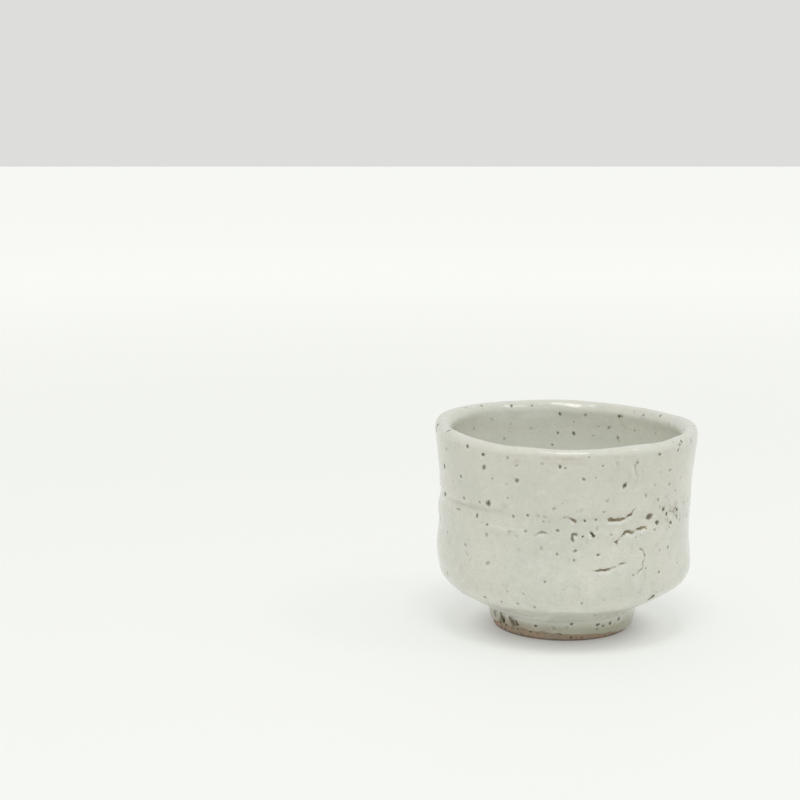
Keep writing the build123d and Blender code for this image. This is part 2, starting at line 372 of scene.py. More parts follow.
# cracks and specks are placed in degrees round the cup and mm up its axis
# a crack is "open" down to the clay, its clay is dark with "iron", and its lips are "rolled" unless it says 0
glazeCracks = [  # each point has its width in mm
    {"path": [(-97, 35.5, 0.25), (-95.6, 35.8, 0.5), (-94.5, 36.0, 0.4), (-93, 35.8, 0.45),
              (-91.6, 35.3, 0.65), (-90.4, 34.8, 0.65), (-89.8, 34.6, 0.2)], "open": 0.85},
    {"path": [(-76.6, 35.15, 0.4), (-75.6, 35.1, 0.95), (-74.0, 35.0, 0.8), (-72.6, 34.9, 0.85),
              (-70.4, 34.85, 0.85), (-69.0, 34.95, 0.7), (-68.0, 35.15, 0.4), (-66.9, 35.55, 0.6),
              (-65.8, 35.85, 0.7), (-65.0, 36.4, 0.4), (-64.3, 37.0, 0.35), (-63.1, 37.7, 0.15)],
     "open": 1.0},
    {"path": [(-71.3, 28.0, 0.2), (-71.7, 28.8, 0.25), (-72.0, 29.5, 0.7), (-71.2, 29.9, 0.4),
              (-70.2, 30.5, 0.32), (-69.2, 31.1, 0.5), (-68.4, 31.5, 0.7), (-67.1, 31.6, 0.7),
              (-65.6, 31.65, 0.8), (-64.4, 31.5, 0.6), (-63.6, 31.4, 0.55), (-62.6, 31.7, 0.4),
              (-61.4, 31.95, 0.6), (-58.8, 32.12, 0.75), (-57.0, 32.25, 0.55), (-55.2, 32.35, 0.15)],
     "open": 1.0},
    {"path": [(-83.8, 22.8, 0.2), (-81.4, 22.8, 0.45), (-79.2, 22.8, 0.5), (-77.4, 22.7, 0.65),
              (-75.6, 22.8, 0.6), (-74.4, 23.0, 0.5), (-72.8, 23.4, 0.35), (-71.2, 23.7, 0.3),
              (-70.0, 24.0, 0.45), (-68.2, 24.2, 0.45), (-66.6, 24.0, 0.15)], "open": 1.0},
    {"path": [(-60.6, 27.2, 0.3), (-59.4, 26.85, 0.5), (-57.9, 26.35, 0.36), (-57.2, 25.4, 0.46),
              (-57.5, 24.6, 0.3), (-58.0, 23.8, 0.45), (-58.3, 23.1, 0.4), (-58.6, 22.4, 0.34),
              (-60.2, 21.75, 0.5), (-61.4, 21.15, 0.38), (-62.6, 20.6, 0.15)], "open": 0.8, "iron": 0.7},
    {"path": [(-88.4, 19.0, 0.1), (-88.6, 17.6, 0.3), (-89.4, 16.4, 0.25), (-90.6, 14.4, 0.3),
              (-91.8, 12.6, 0.1)], "open": 0.35},
    {"path": [(-108.4, 31.1, 0.3), (-106.6, 31.5, 0.55), (-104.8, 31.9, 0.62), (-103.4, 31.8, 0.58),
              (-101.7, 31.5, 0.3)], "open": 0.55, "iron": 0.6},
    {"path": [(-83.8, 32.3, 0.3), (-83.1, 31.7, 0.7), (-82.5, 31.1, 0.65), (-82.2, 30.8, 0.2)],
     "open": 1.0, "iron": 0.7},
    {"path": [(-147, 37.3, 0.2), (-145.6, 37.3, 0.35), (-144.4, 36.7, 0.4), (-144.0, 36.0, 0.1)],
     "open": 0.4},
    {"path": [(-153.0, 33.6, 0.25), (-151.2, 33.5, 0.5), (-149.4, 33.5, 0.5), (-147.8, 33.5, 0.2)],
     "open": 0.7, "iron": 0.7},
    {"path": [(-77.1, 40.6, 0.1), (-77.2, 39.9, 0.3), (-76.8, 38.9, 0.1)], "open": 0.35},
    {"path": [(-75.2, 50.0, 0.2), (-74.1, 49.0, 0.6), (-73.6, 48.0, 0.5), (-73.9, 46.8, 0.2)],
     "open": 0.3, "iron": 1.0},
    {"path": [(-63.4, 49.8, 0.2), (-64.3, 49.0, 0.5), (-65.3, 47.9, 0.6), (-65.2, 46.8, 0.45),
              (-64.7, 45.9, 0.55), (-63.0, 44.9, 0.2)], "open": 0.36, "iron": 1.0},
    {"path": [(-52.4, 13.85, 0.5), (-51.4, 14.15, 1.5), (-50.6, 14.4, 1.7), (-49.8, 14.6, 1.2),
              (-49.2, 14.8, 0.4)], "open": 1.0, "iron": 0.55},
    {"path": [(-147.8, 6.0, 2.2), (-148.4, 5.2, 4.0), (-148.3, 4.5, 4.5), (-147.6, 3.9, 4.5),
              (-147.3, 3.2, 4.0), (-147.0, 2.8, 2.2)], "open": 1.0, "rolled": 0.0, "iron": 0.52},
    {"path": [(-138.6, 4.7, 1.4), (-136.8, 4.2, 2.4), (-134.6, 4.0, 2.8), (-132.4, 3.9, 2.2),
              (-130.6, 3.6, 0.9)], "open": 1.0, "rolled": 0.0, "iron": 0.48},
    {"path": [(-135.6, 4.0, 1.6), (-135.6, 3.4, 1.9), (-135.4, 2.9, 1.1)], "open": 0.9, "rolled": 0.0,
     "iron": 0.4},
    {"path": [(-36.2, 33.4, 0.2), (-35.4, 32.8, 0.6), (-34.8, 32.1, 0.2)], "open": 0.45},
    {"path": [(150, 34.6, 0.2), (154, 34.9, 0.6), (159, 34.7, 0.5), (163, 35.3, 0.2)], "open": 0.9},
    {"path": [(40, 31.9, 0.2), (44, 31.5, 0.5), (47, 31.9, 0.7), (51, 31.6, 0.4), (55, 32.3, 0.15)],
     "open": 1.0},
    {"path": [(98, 24.2, 0.15), (101, 24.4, 0.45), (104, 24.0, 0.6), (108, 24.5, 0.2)], "open": 0.8},
]

glazeFolds = [  # low pale ridges where the coat slid over itself, and one sunken crease darkened with painted shade
    {"path": [(-137, 31.0), (-131.6, 31.5), (-128.2, 31.7), (-125.1, 31.9), (-121.7, 31.5),
              (-117.5, 32.0), (-113, 31.9)], "rise": 0.09, "pale": 0.26, "stain": 0.0},
    {"path": [(-164, 34.6), (-150, 35.2), (-141, 35.4), (-133, 35.6), (-126, 35.8), (-117, 35.8)],
     "rise": -0.14, "pale": 0.0, "stain": 0.36},
    {"path": [(60, 32.0), (68, 31.5), (77, 31.8), (86, 31.4)], "rise": 0.09, "pale": 0.22, "stain": 0.0},
]

ironSpecks = {  # azimuth, height, width in mm and darkness of the specks that stand out
    "outside": [
        (-130, 37.3, 1.5, 1.0), (-135, 37.1, 0.7, 0.6), (-116, 44.2, 1.1, 0.9), (-132, 46.1, 1.2, 0.85),
        (-132, 49.3, 1.0, 0.95), (-141, 50.2, 0.9, 0.8), (-163, 42.6, 1.1, 0.95), (-147, 42.1, 0.9, 0.8),
        (-166, 35.3, 1.7, 1.0), (-145.4, 36.9, 1.0, 0.5), (-140.6, 36.0, 0.8, 0.3),
        (-137.2, 33.4, 0.9, 0.75), (-130.9, 31.9, 0.7, 0.7), (-131, 29.4, 1.1, 0.5),
        (-118, 35.1, 0.9, 0.6), (-111, 35.8, 0.8, 0.8), (-112, 31.8, 0.7, 0.6), (-98, 32.5, 0.8, 0.8),
        (-100, 38.0, 0.8, 0.5), (-97.7, 48.5, 0.8, 0.8), (-95.5, 48.2, 0.6, 0.6), (-80, 48.5, 0.5, 0.7),
        (-87.7, 45.4, 0.8, 0.7), (-82.7, 45.6, 0.6, 0.4), (-69.5, 43.2, 1.1, 0.95),
        (-77, 39.8, 1.0, 0.35), (-78.3, 37.1, 0.7, 0.5), (-86.5, 35.0, 0.7, 0.9), (-81.7, 35.3, 0.8, 0.6),
        (-90.4, 27.7, 0.9, 0.7), (-80.3, 26.6, 0.8, 0.8), (-98, 26.8, 0.7, 0.6), (-105, 28.0, 0.9, 0.35),
        (-102.8, 20.0, 0.7, 0.6), (-119.6, 16.6, 0.8, 0.4), (-144, 25.4, 1.0, 0.45),
        (-142, 23.2, 0.8, 0.35), (-129.7, 22.5, 1.1, 0.45), (-115.5, 13.7, 0.9, 0.6),
        (-124, 13.4, 0.8, 0.6), (-107.7, 13.4, 0.9, 0.5), (-86.7, 15.0, 0.7, 0.6),
        (-55.2, 34.65, 1.4, 1.0), (-50.1, 32.8, 1.0, 0.9), (-46.8, 35.8, 1.0, 0.9),
        (-44.0, 34.4, 0.9, 0.95), (-37.5, 35.2, 0.9, 0.9), (-35.2, 34.5, 1.0, 0.9),
        (-38.3, 34.3, 0.7, 0.65), (-35.5, 32.7, 1.1, 0.6), (-32.6, 31.7, 0.9, 0.5),
        (-40.5, 31.9, 1.0, 0.9), (-41.7, 31.0, 0.8, 0.45), (-49.4, 36.6, 0.8, 0.35),
        (-45.8, 38.7, 0.8, 0.25), (-38.4, 39.6, 0.9, 0.4), (-53.4, 42.3, 0.9, 0.3),
        (-28.6, 35.5, 1.2, 0.35), (-24.5, 35.9, 1.3, 0.35), (-17, 36.0, 1.4, 0.35),
        (-23.2, 31.8, 1.3, 0.35), (-23.0, 26.4, 1.3, 0.3), (-43.5, 30.6, 1.0, 0.25),
        (-50.9, 45.2, 0.8, 0.3), (-52.0, 31.3, 0.8, 0.5), (-50.9, 38.5, 0.9, 0.5),
        (-80.8, 33.1, 1.1, 0.3), (-88.7, 37.7, 1.5, 0.22), (-106.4, 35.9, 1.0, 0.3),
        (-103.5, 35.7, 0.9, 0.3), (-120.2, 39.5, 0.8, 0.4), (-99.6, 38.0, 0.9, 0.35),
        (-120.8, 42.9, 0.9, 0.25), (-116, 30.3, 0.9, 0.25), (-58.5, 40.1, 0.9, 0.5),
        (-44, 41.6, 0.7, 0.6), (-44.7, 45.2, 0.8, 0.6), (-37.5, 51.05, 0.7, 0.85),
        (-39.6, 50.6, 0.6, 0.7), (-40.7, 49.7, 0.8, 0.8), (-43.1, 51.3, 0.6, 0.4), (-28, 50.3, 0.9, 0.4),
        (-53.4, 49.8, 0.9, 0.35), (-120, 49.6, 0.9, 0.5), (-116, 47.9, 0.8, 0.4), (-105, 49.0, 0.8, 0.4),
        (-49, 20.5, 0.9, 0.6), (-42, 25.9, 0.9, 0.6), (-48, 25.8, 0.7, 0.5), (-34.5, 21.1, 0.8, 0.4),
        (-157.6, 5.5, 1.8, 0.6), (-160.5, 4.2, 1.9, 0.75), (-152, 3.0, 1.0, 0.8), (-115, 4.35, 0.8, 0.85),
        (-87.2, 5.65, 0.9, 0.95), (-100.7, 4.3, 1.1, 0.35), (-90.8, 4.5, 1.0, 0.3),
        (-66.1, 4.9, 0.9, 0.8), (-61.0, 4.35, 0.8, 0.8), (-54.3, 4.7, 1.0, 0.95), (-44.8, 5.2, 1.0, 0.95),
        (-91.8, 9.9, 0.6, 0.5), (-175, 51.0, 1.2, 1.0), (-173.5, 50.3, 1.0, 0.8), (-159, 51.4, 1.0, 0.85),
        (20, 40.0, 1.1, 0.8), (36, 29.0, 1.3, 0.9), (52, 44.0, 0.9, 0.8), (70, 35.5, 1.2, 0.9),
        (108, 33.0, 1.0, 0.8), (125, 42.0, 1.2, 0.9), (140, 25.0, 1.0, 0.7), (160, 37.0, 0.9, 0.9),
        (24, 22.0, 0.9, 0.6), (65, 20.0, 0.8, 0.6), (150, 47.0, 0.8, 0.8),
    ],
    "inside": [
        (87.6, 48.6, 0.8, 0.9), (114, 47.6, 0.6, 0.6), (114.4, 50.55, 0.8, 0.85), (132.8, 51.2, 0.7, 0.8),
        (126, 47.3, 0.7, 0.7), (102, 44.6, 0.5, 0.3), (98, 43.8, 0.5, 0.4), (88.5, 43.5, 0.8, 0.9),
        (80, 43.6, 0.9, 1.0), (80, 46.8, 0.6, 0.7), (60.7, 46.0, 0.9, 0.6), (55, 49.4, 0.9, 0.9),
        (40.5, 50.4, 0.7, 0.7), (30, 46.9, 0.7, 0.6), (18, 50.0, 0.7, 0.5), (69, 43.4, 0.6, 0.5),
        (-60, 40.0, 0.9, 0.8), (-120, 34.0, 1.0, 0.7), (22, 28.0, 0.9, 0.8), (150, 30.0, 0.8, 0.7),
        (-30, 22.0, 1.0, 0.8), (100, 20.0, 0.9, 0.8), (-150, 44.0, 0.7, 0.8), (141.5, 46.0, 0.8, 0.5),
        (119.6, 42.4, 0.8, 0.5), (127.5, 47.8, 0.6, 0.5), (55.1, 43.5, 1.0, 0.6), (74, 48.8, 0.8, 0.6),
    ],
}

burstBubbles = [  # azimuth, height, width in mm, and whether the skin broke as a ring or right through
    (-90.5, 31.0, 2.1, "ring"), (-87.2, 31.2, 0.5, "hole"), (-55.2, 34.7, 1.6, "hole"),
    (-50.1, 32.8, 1.0, "hole"), (-66.1, 4.9, 0.6, "hole"), (-115, 4.35, 0.6, "hole"),
    (-52.6, 49.7, 0.6, "hole"), (-163, 42.6, 0.9, "hole"), (70, 35.5, 1.2, "ring"), (36, 29.0, 1.1, "hole"),
    (128, 37.0, 1.0, "hole"), (-172, 28.0, 0.8, "ring"),
]

roughPatch = {  # pitted spot on the waist, in mm; a layer of noise has its share, size and seed
    "azimuth": -40, "height": 34.4, "wide": 11.0, "tall": 3.2, "depth": 0.28, "least": 0.02,
    "pits": [(1.0, 1.25, 16), (0.3, 0.5, 20)], "pitRange": (0.10, 0.50), "bumps": [(0.45, 1.6, 18)],
    "stains": [(1.0, 2.2, 17)], "stainRange": (-0.2, 0.4), "iron": 0.3, "thin": 0.5,
}

glazeCoat = {  # mm and degrees; a layer of noise has its share, size and seed
    "thickness": 0.6, "columns": 154, "step": 1.26, "lipStep": 0.8, "insideStep": 1.3, "hiddenStep": 6.0,
    "edgeRows": [0.0, 0.08, 0.3, 0.65], "firstRow": 1.2, "lipZone": 3.2, "bevelZone": 4.4, "footEnd": 6.0,
    "finer": {"wall": [1.0], "marks": [1.2, 0.66], "cracks": [0.4]}, "leastLift": 0.03, "backLift": 0.02,
    "edgeRound": 0.7, "edgeBead": {"from": 0.9, "reach": 0.6, "rise": 0.03},
    "calmEdge": 1.5, "calmMiddle": 4.0, "outerMargin": 0.5,
    "line": 1.85, "lineTilt": 3.2, "lineWaves": [(3, 0.4, 0.12), (7, 2.0, 0.084), (13, 0.0, 0.06)],
    "lineFray": [(0.36, 2.4, 21), (0.252, 1.0, 22)], "lineLeast": 0.5,
    "lineDip": {"azimuth": -174, "spread": 17, "drop": 1.1},
    "lumps": [(0.11, 8.0, 0), (0.04, 2.6, 1), (0.018, 0.9, 2)],
    "pool": {"azimuth": -120, "spread": 45, "height": 7.2, "reach": 1.5, "rise": 0.6},
    "lipReach": 8.0, "lipLumps": [(0.2, 6.5, 23), (0.055, 2.2, 24)], "lipLumpsAt": (1.2, 3.0),
    "lipEdge": [(-0.95, 0.5, 0.10), (-2.1, 0.7, -0.06)],  # run past the crest, reach and rise
    "lipSwells": [  # thicker spots inside the lip
        {"azimuth": 81, "spread": 7, "past": 3.0, "reach": 1.2, "rise": 0.32},
        {"azimuth": 112, "spread": 4.5, "past": 2.8, "reach": 1.1, "rise": 0.22},
        {"azimuth": 180, "spread": 42, "past": 3.0, "reach": 1.3, "rise": 0.34},
        {"azimuth": -6, "spread": 42, "past": 3.0, "reach": 1.3, "rise": 0.34},
    ],
}


def glazeStart(angle):  # run along the clay where the coat begins, on the slanting glaze line
    spec, dip = glazeCoat, glazeCoat["lineDip"]
    radii = np.full_like(angle, cupForm["footRadius"])
    ring = placeOnCup(angle, radii, np.full_like(angle, spec["line"]))
    around = np.degrees(wrapAngle(angle - math.radians(dip["azimuth"])))
    line = spec["line"] - radii * np.cos(angle) * math.tan(math.radians(spec["lineTilt"]))
    line = line + waves(angle, spec["lineWaves"]) + noiseLayers(ring, spec["lineFray"])
    line = line - dip["drop"] * bell(around, 0.0, dip["spread"])
    start = np.maximum(line, spec["lineLeast"])
    for _ in range(3):  # the same height above the table, read along the leaning foot until it settles
        lean = footLean(angle, radii) * smoothStep(0.0, handShape["levelReach"], start)
        start = np.maximum(line - lean, spec["lineLeast"])
    return start


sheetScale = cupForm["bellyRadius"]  # the flat sheet's x is the angle times this
coatClay = sectionTable(np.concatenate([outsideSection(), insideSection()]))
crestRun = sectionTable(outsideSection())["run"][-1]
outerRows = coatClay["run"] < crestRun - glazeCoat["outerMargin"]


def sheetPlace(azimuth, height, inside=False):  # x round the flat sheet and y along the clay
    x = (seamAngle - (seamAngle - math.radians(azimuth)) % (2.0 * math.pi)) * sheetScale
    if inside:
        return x, np.interp(-height, -coatClay["height"][~outerRows], coatClay["run"][~outerRows])
    return x, np.interp(height, coatClay["height"][outerRows], coatClay["run"][outerRows])


crackLines = [np.array([sheetPlace(*point[:2]) for point in crack["path"]]) for crack in glazeCracks]
foldLines = [np.array([sheetPlace(*point) for point in fold["path"]]) for fold in glazeFolds]
speckSpots = [(*sheetPlace(azimuth, height, side == "inside"), width, dark)
              for side in ("outside", "inside") for azimuth, height, width, dark in ironSpecks[side]]
bubbleSpots = [(*sheetPlace(azimuth, height), width, kind) for azimuth, height, width, kind in burstBubbles]


def fromSpot(points, x, y):  # mm across and up from a spot, true to the radius there
    squeeze = np.interp(y, coatClay["run"], coatClay["radius"]) / sheetScale
    return (points[:, 0] - x) * squeeze, points[:, 1] - y


def patchMask(points):  # where the coat is pitted
    x, y = sheetPlace(roughPatch["azimuth"], roughPatch["height"])
    around = (points[:, 0] - x) / sheetScale
    return bell(around, 0.0, math.radians(roughPatch["wide"])) * bell(points[:, 1], y, roughPatch["tall"])


def wallDistance(points):  # 0 on the wall and the lip, so that every quad there is halved once
    shown = (points[:, 1] > 0) & (points[:, 1] < crestRun + glazeCoat["bevelZone"])
    return np.where(shown, 0.0, np.inf)


def unroll(points):  # rows near the foot are squeezed together to begin on the glaze line
    footEnd, rows = glazeCoat["footEnd"], points[:, 1].copy()
    low = np.flatnonzero((rows >= 0.0) & (rows < footEnd))
    first = glazeStart(points[low, 0] / sheetScale)
    rows[low] = first + (footEnd - first) * rows[low] / footEnd
    return np.stack([points[:, 0], rows], 1)


def crackDistance(points):
    return np.min([alongLine(points, line)[0] for line in crackLines], axis=0)


# mm that leave these marks coarser than a crack, and the share of the pitted patch that counts
markMargin = {"fold": 0.2, "spot": 0.3, "patch": 0.5, "patchShare": 0.25}


def markDistance(points):
    folds = [alongLine(points, line)[0] + markMargin["fold"] for line in foldLines]
    least = np.min(folds + [crackDistance(points)], axis=0)
    for x, y, width, _ in speckSpots + bubbleSpots:
        away = np.hypot(*fromSpot(points, x, y)) - width / 2
        least = np.minimum(least, np.maximum(away, 0.0) + markMargin["spot"])
    onPatch = patchMask(points) > markMargin["patchShare"]
    return np.where(onPatch, np.minimum(least, markMargin["patch"]), least)


def glazeSheet():  # back of the coat first, then from the glaze line over the lip to the floor
    spec = glazeCoat
    lipStart, lipEnd = crestRun - spec["lipZone"], crestRun + spec["bevelZone"]
    marks = np.concatenate([
        -bendMarks(coatClay, spec["hiddenStep"])[:0:-1],
        spec["edgeRows"],
        stepMarks(spec["firstRow"], lipStart, spec["step"]),
        stepMarks(lipStart, lipEnd, spec["lipStep"])[1:],
        stepMarks(lipEnd, coatClay["run"][-1], spec["insideStep"])[1:],
    ])
    sheet = sheetGrid(marks, spec["columns"])
    refineSheet(sheet, wallDistance, spec["finer"]["wall"])
    refineSheet(sheet, lambda points: markDistance(unroll(points)), spec["finer"]["marks"])
    refineSheet(sheet, lambda points: crackDistance(unroll(points)), spec["finer"]["cracks"])
    return sheet


glazeMarks = ("ironSpot", "bareClay", "thinGlazeAndShade", "milkyAndPaintedLight", "footToneAndShade")  # attributes for the material


def layCoat(sheet):  # both skins of the coat follow the clay from the glaze line
    flat = flatPlaces(sheet)
    angle, mark = flat[:, 0] / sheetScale, flat[:, 1]
    footEnd, start, along = glazeCoat["footEnd"], glazeStart(angle), np.abs(mark)
    run = np.where(along < footEnd, start + (footEnd - start) * along / footEnd, along)
    radius, height, out, upward = readSection(coatClay, run)
    coat = {key: np.zeros(len(angle)) for key in glazeMarks}
    coat.update({
        "angle": angle, "turn": np.degrees(wrapAngle(angle)), "flat": unroll(flat), "radius": radius,
        "height": height, "out": out, "upward": upward, "base": placeOnCup(angle, radius, height),
        "fromLine": run - start, "past": run - crestRun, "hidden": mark < 0.0, "shown": mark >= 0.0,
        "outside": (mark >= 0.0) & (mark < crestRun), "lining": mark >= crestRun,
    })
    return coat


def noiseOn(coat, where, layers):  # noise on one part of the coat and 0 elsewhere
    field, spots = np.zeros(len(where)), np.flatnonzero(where)
    field[spots] = noiseLayers(coat["base"][spots], layers)
    return field


def deepen(coat, key, amount):  # the strongest mark at a place is the one that shows
    coat[key] = np.maximum(coat[key], amount)


def thickenCoat(coat):
    spec, bead, pool = glazeCoat, glazeCoat["edgeBead"], glazeCoat["pool"]
    fromLine, past, outside = coat["fromLine"], coat["past"], coat["outside"]
    coat["fromEdge"] = np.clip(fromLine / spec["edgeRound"], 0.0, 1.0)
    coat["calm"] = smoothStep(0.0, spec["calmEdge"], fromLine)
    coat["calm"] *= smoothStep(0.0, spec["calmMiddle"], coat["radius"])
    coat["onLip"] = coat["shown"] & (np.abs(past) < spec["lipReach"])
    lumps = noiseOn(coat, coat["shown"], spec["lumps"])
    lumps += bell(past, *spec["lipLumpsAt"]) * noiseOn(coat, coat["onLip"], spec["lipLumps"])
    for middle, reach, rise in spec["lipEdge"]:  # a firmer edge outside the crest
        lumps += outside * rise * bell(past, middle, reach)
    for swell in spec["lipSwells"]:
        lumps += coat["shown"] * swell["rise"] * hump(coat, swell)
    lumps += outside * pool["rise"] * hump(coat, pool)
    coat["lift"] = spec["thickness"] * roundedEdge(coat["fromEdge"]) + lumps * coat["calm"]
    coat["lift"] += bead["rise"] * bell(fromLine, bead["from"], bead["reach"])


waistBand = {  # shallow band that the tool left round the waist, in mm
    "low": 31.9, "high": 35.1, "depth": 0.28, "wave": 0.5, "waveFrom": 140, "wobble": [(4, 0.0, 0.25)],
    "lowFollows": 0.5, "lowSoft": 0.8, "highSoft": 0.6, "crease": 0.09, "creaseHigh": 0.6,
    "creaseLow": 0.65, "lowShare": 0.7, "patches": [(4, 1.0, 1.0), (9, 0.0, 0.6)], "patchRange": (-0.3, 0.5),
    "leastCrease": 0.25, "swell": {"above": 2.0, "reach": 1.6, "rise": 0.10},
    "ringSpacing": 6.2, "ringRise": 0.05, "ringsFrom": (14.0, 20.0),
}


def turnBand(coat):  # the band outside and the throwing rings inside
    spec, swell, angle, height = waistBand, waistBand["swell"], coat["angle"], coat["height"]
    drift = spec["wave"] * np.cos(angle + math.radians(spec["waveFrom"])) + waves(angle, spec["wobble"])
    low, high = spec["low"] + spec["lowFollows"] * drift, spec["high"] + drift
    band = (smoothStep(low - spec["lowSoft"], low + spec["lowSoft"], height)
            - smoothStep(high - spec["highSoft"], high + spec["highSoft"], height))
    crease = bell(height, high, spec["creaseHigh"]) + spec["lowShare"] * bell(height, low, spec["creaseLow"])
    patchy = smoothStep(*spec["patchRange"], waves(angle, spec["patches"]))
    crease *= spec["leastCrease"] + (1.0 - spec["leastCrease"]) * patchy
    coat["lift"] -= coat["outside"] * (spec["depth"] * band + spec["crease"] * crease)
    coat["lift"] += coat["outside"] * swell["rise"] * bell(height, high + swell["above"], swell["reach"])
    spiral = np.sin(2 * math.pi * height / spec["ringSpacing"] + angle)
    coat["lift"] += coat["lining"] * spec["ringRise"] * spiral * smoothStep(*spec["ringsFrom"], height)


crackForm = {  # mm
    "draw": 0.72, "near": 2.5, "ragNear": 3.0, "rag": [(0.28, 1.5, 12), (0.16, 0.55, 14)],
    "jag": [(0.6, 0.4, 3), (0.4, 1.2, 4)], "jagShare": 0.5, "jagWidest": 0.6, "opens": (0.05, 0.6),
    "opensJag": 0.2, "edgeIn": 0.10, "edgeOut": 0.14, "floor": 0.06,
    "lipAt": 0.45, "lipReach": 0.36, "lipRise": 0.24, "lipWidest": 0.8, "lipEven": 0.45, "lipBelow": 0.55,
    "lipMilk": 1.4, "thin": 0.8, "thinReach": 0.3,
}


def raggedPlaces(coat):  # places on the sheet, moved near cracks so that their edges fray
    places = coat["flat"].copy()
    close = coat["outside"] & (crackDistance(coat["flat"]) < crackForm["ragNear"])
    for axis in (0, 1):
        layers = [(share, size, seed + axis) for share, size, seed in crackForm["rag"]]
        places[:, axis] += noiseOn(coat, close, layers)
    return places


def openCracks(coat, places):  # drawn open to the clay, with rolled lips
    spec = crackForm
    for crack, path in zip(glazeCracks, crackLines):
        away, share, side = alongLine(places, path)
        near = coat["outside"] & (away < spec["near"])
        width = np.interp(share, lineShares(path)[0], [point[2] * spec["draw"] for point in crack["path"]])
        jag = noiseOn(coat, near, spec["jag"])
        half, gap = width / 2, away + spec["jagShare"] * jag * np.minimum(width, spec["jagWidest"])
        depth = near * crack["open"] * smoothStep(*spec["opens"], width + spec["opensJag"] * jag)
        openness = depth * (1.0 - smoothStep(half - spec["edgeIn"], half + spec["edgeOut"], gap))
        rolled = crack.get("rolled", 1.0) * (spec["lipEven"] + spec["lipBelow"] * side)
        lip = depth * bell(gap, half + spec["lipAt"], spec["lipReach"]) * rolled
        coat["lift"] = coat["lift"] * (1.0 - openness) + spec["floor"] * openness
        coat["lift"] += spec["lipRise"] * lip * np.clip(width, 0.0, spec["lipWidest"])
        iron = crack.get("iron", 0.0)
        deepen(coat, "bareClay", openness * (1.0 - iron))
        deepen(coat, "ironSpot", openness * (iron > 0))
        beside = bell(np.maximum(gap - half, 0.0), 0.0, spec["thinReach"])
        deepen(coat, "thinGlazeAndShade", spec["thin"] * depth * beside)
        deepen(coat, "milkyAndPaintedLight", lip * np.clip(spec["lipMilk"] * width, 0.0, 1.0))


foldForm = {"ridge": 0.34, "stain": 0.9}  # mm to each side


def slideFolds(coat, places):
    for fold, path in zip(glazeFolds, foldLines):
        away, share, _ = alongLine(places, path)
        fade = coat["outside"] * np.sin(math.pi * np.clip(share, 0.0, 1.0)) ** 0.5
        ridge = fade * bell(away, 0.0, foldForm["ridge"])
        coat["lift"] += fold["rise"] * ridge
        deepen(coat, "milkyAndPaintedLight", fold["pale"] * ridge)
        # the stain darkens along the fold; on the sunken crease it is painted shade
        deepen(coat, "thinGlazeAndShade", fold["stain"] * fade * bell(away, 0.0, foldForm["stain"]))


bubbleForm = {  # shares of the bubble's own width, and depths in mm
    "near": 3.0, "rag": 0.12, "ragSize": 0.6, "ragSeed": 5, "fineRag": (0.07, 0.35, 19),
    "ringFacing": (0.9, -0.45), "ringSweep": (-0.1, 0.75), "ringAt": 0.36, "ringReach": 0.15,
    "ringHollow": 0.8, "coreReach": 0.28, "coreRise": 0.10, "coreMilkReach": 0.30, "coreMilk": 0.6,
    "hole": (0.16, 0.60),
    "floor": 0.06, "depth": 0.45, "rimAt": 0.75, "rimReach": 0.2, "rimRise": 0.06, "bruiseReach": (0.4, 0.9),
    "bruise": {"ring": 0.15, "hole": 0.6}, "rust": 0.42, "rustFrom": 1.5, "iron": 0.9, "least": 0.05,
}


def burstSkin(coat):
    spec = bubbleForm
    for x, y, width, kind in bubbleSpots:
        across, upDown = fromSpot(coat["flat"], x, y)
        away = np.hypot(across, upDown)
        near = coat["shown"] & (away < spec["near"])
        rag = [(spec["rag"], spec["ragSize"] * width, spec["ragSeed"]), spec["fineRag"]]
        away = away + width * noiseOn(coat, near, rag)
        reach = away / width
        if kind == "ring":  # a burst skin curled back, open on its right
            right, up = spec["ringFacing"]
            facing = (right * across + up * upDown) / np.maximum(away, spec["least"])
            hollow = near * spec["ringHollow"] * bell(reach, spec["ringAt"], spec["ringReach"])
            hollow = hollow * (1.0 - smoothStep(*spec["ringSweep"], facing))
            coat["lift"] += near * spec["coreRise"] * bell(reach, 0.0, spec["coreReach"])
            deepen(coat, "milkyAndPaintedLight", near * spec["coreMilk"] * bell(reach, 0.0, spec["coreMilkReach"]))
        else:
            hollow = near * (1.0 - smoothStep(*spec["hole"], reach))
            deepen(coat, "bareClay", spec["rust"] * (width > spec["rustFrom"]) * hollow)
        room = np.maximum(coat["lift"] - spec["floor"], 0.0)
        coat["lift"] -= np.minimum(room, spec["depth"] * hollow)
        coat["lift"] += near * spec["rimRise"] * bell(reach, spec["rimAt"], spec["rimReach"])
        bruise = spec["bruise"][kind] * (1.0 - smoothStep(*spec["bruiseReach"], reach))
        deepen(coat, "thinGlazeAndShade", near * bruise)
        deepen(coat, "ironSpot", spec["iron"] * hollow)


def pitPatch(coat):
    spec = roughPatch
    pitted = coat["outside"] * patchMask(coat["flat"])
    pitted = pitted * (pitted > spec["least"])
    where = pitted > 0
    pits = pitted * smoothStep(*spec["pitRange"], noiseOn(coat, where, spec["pits"]))
    stain = pitted * smoothStep(*spec["stainRange"], noiseOn(coat, where, spec["stains"]))
    coat["lift"] += spec["depth"] * (pitted * noiseOn(coat, where, spec["bumps"]) - pits)
    deepen(coat, "ironSpot", spec["iron"] * pits)
    deepen(coat, "thinGlazeAndShade", spec["thin"] * stain)


speckForm = {  # shares of the speck's own width, and depths in mm
    "draw": 0.88, "turn": 2.4, "stretch": 0.4, "shuffle": 0.618, "near": 2.0, "rag": 0.26,
    "ragSize": 0.55, "ragSeed": 6, "fade": (0.05, 0.88), "sink": 0.07, "rimAt": 0.95, "rimReach": 0.3,
    "paintedRimGlint": 0.22,
}


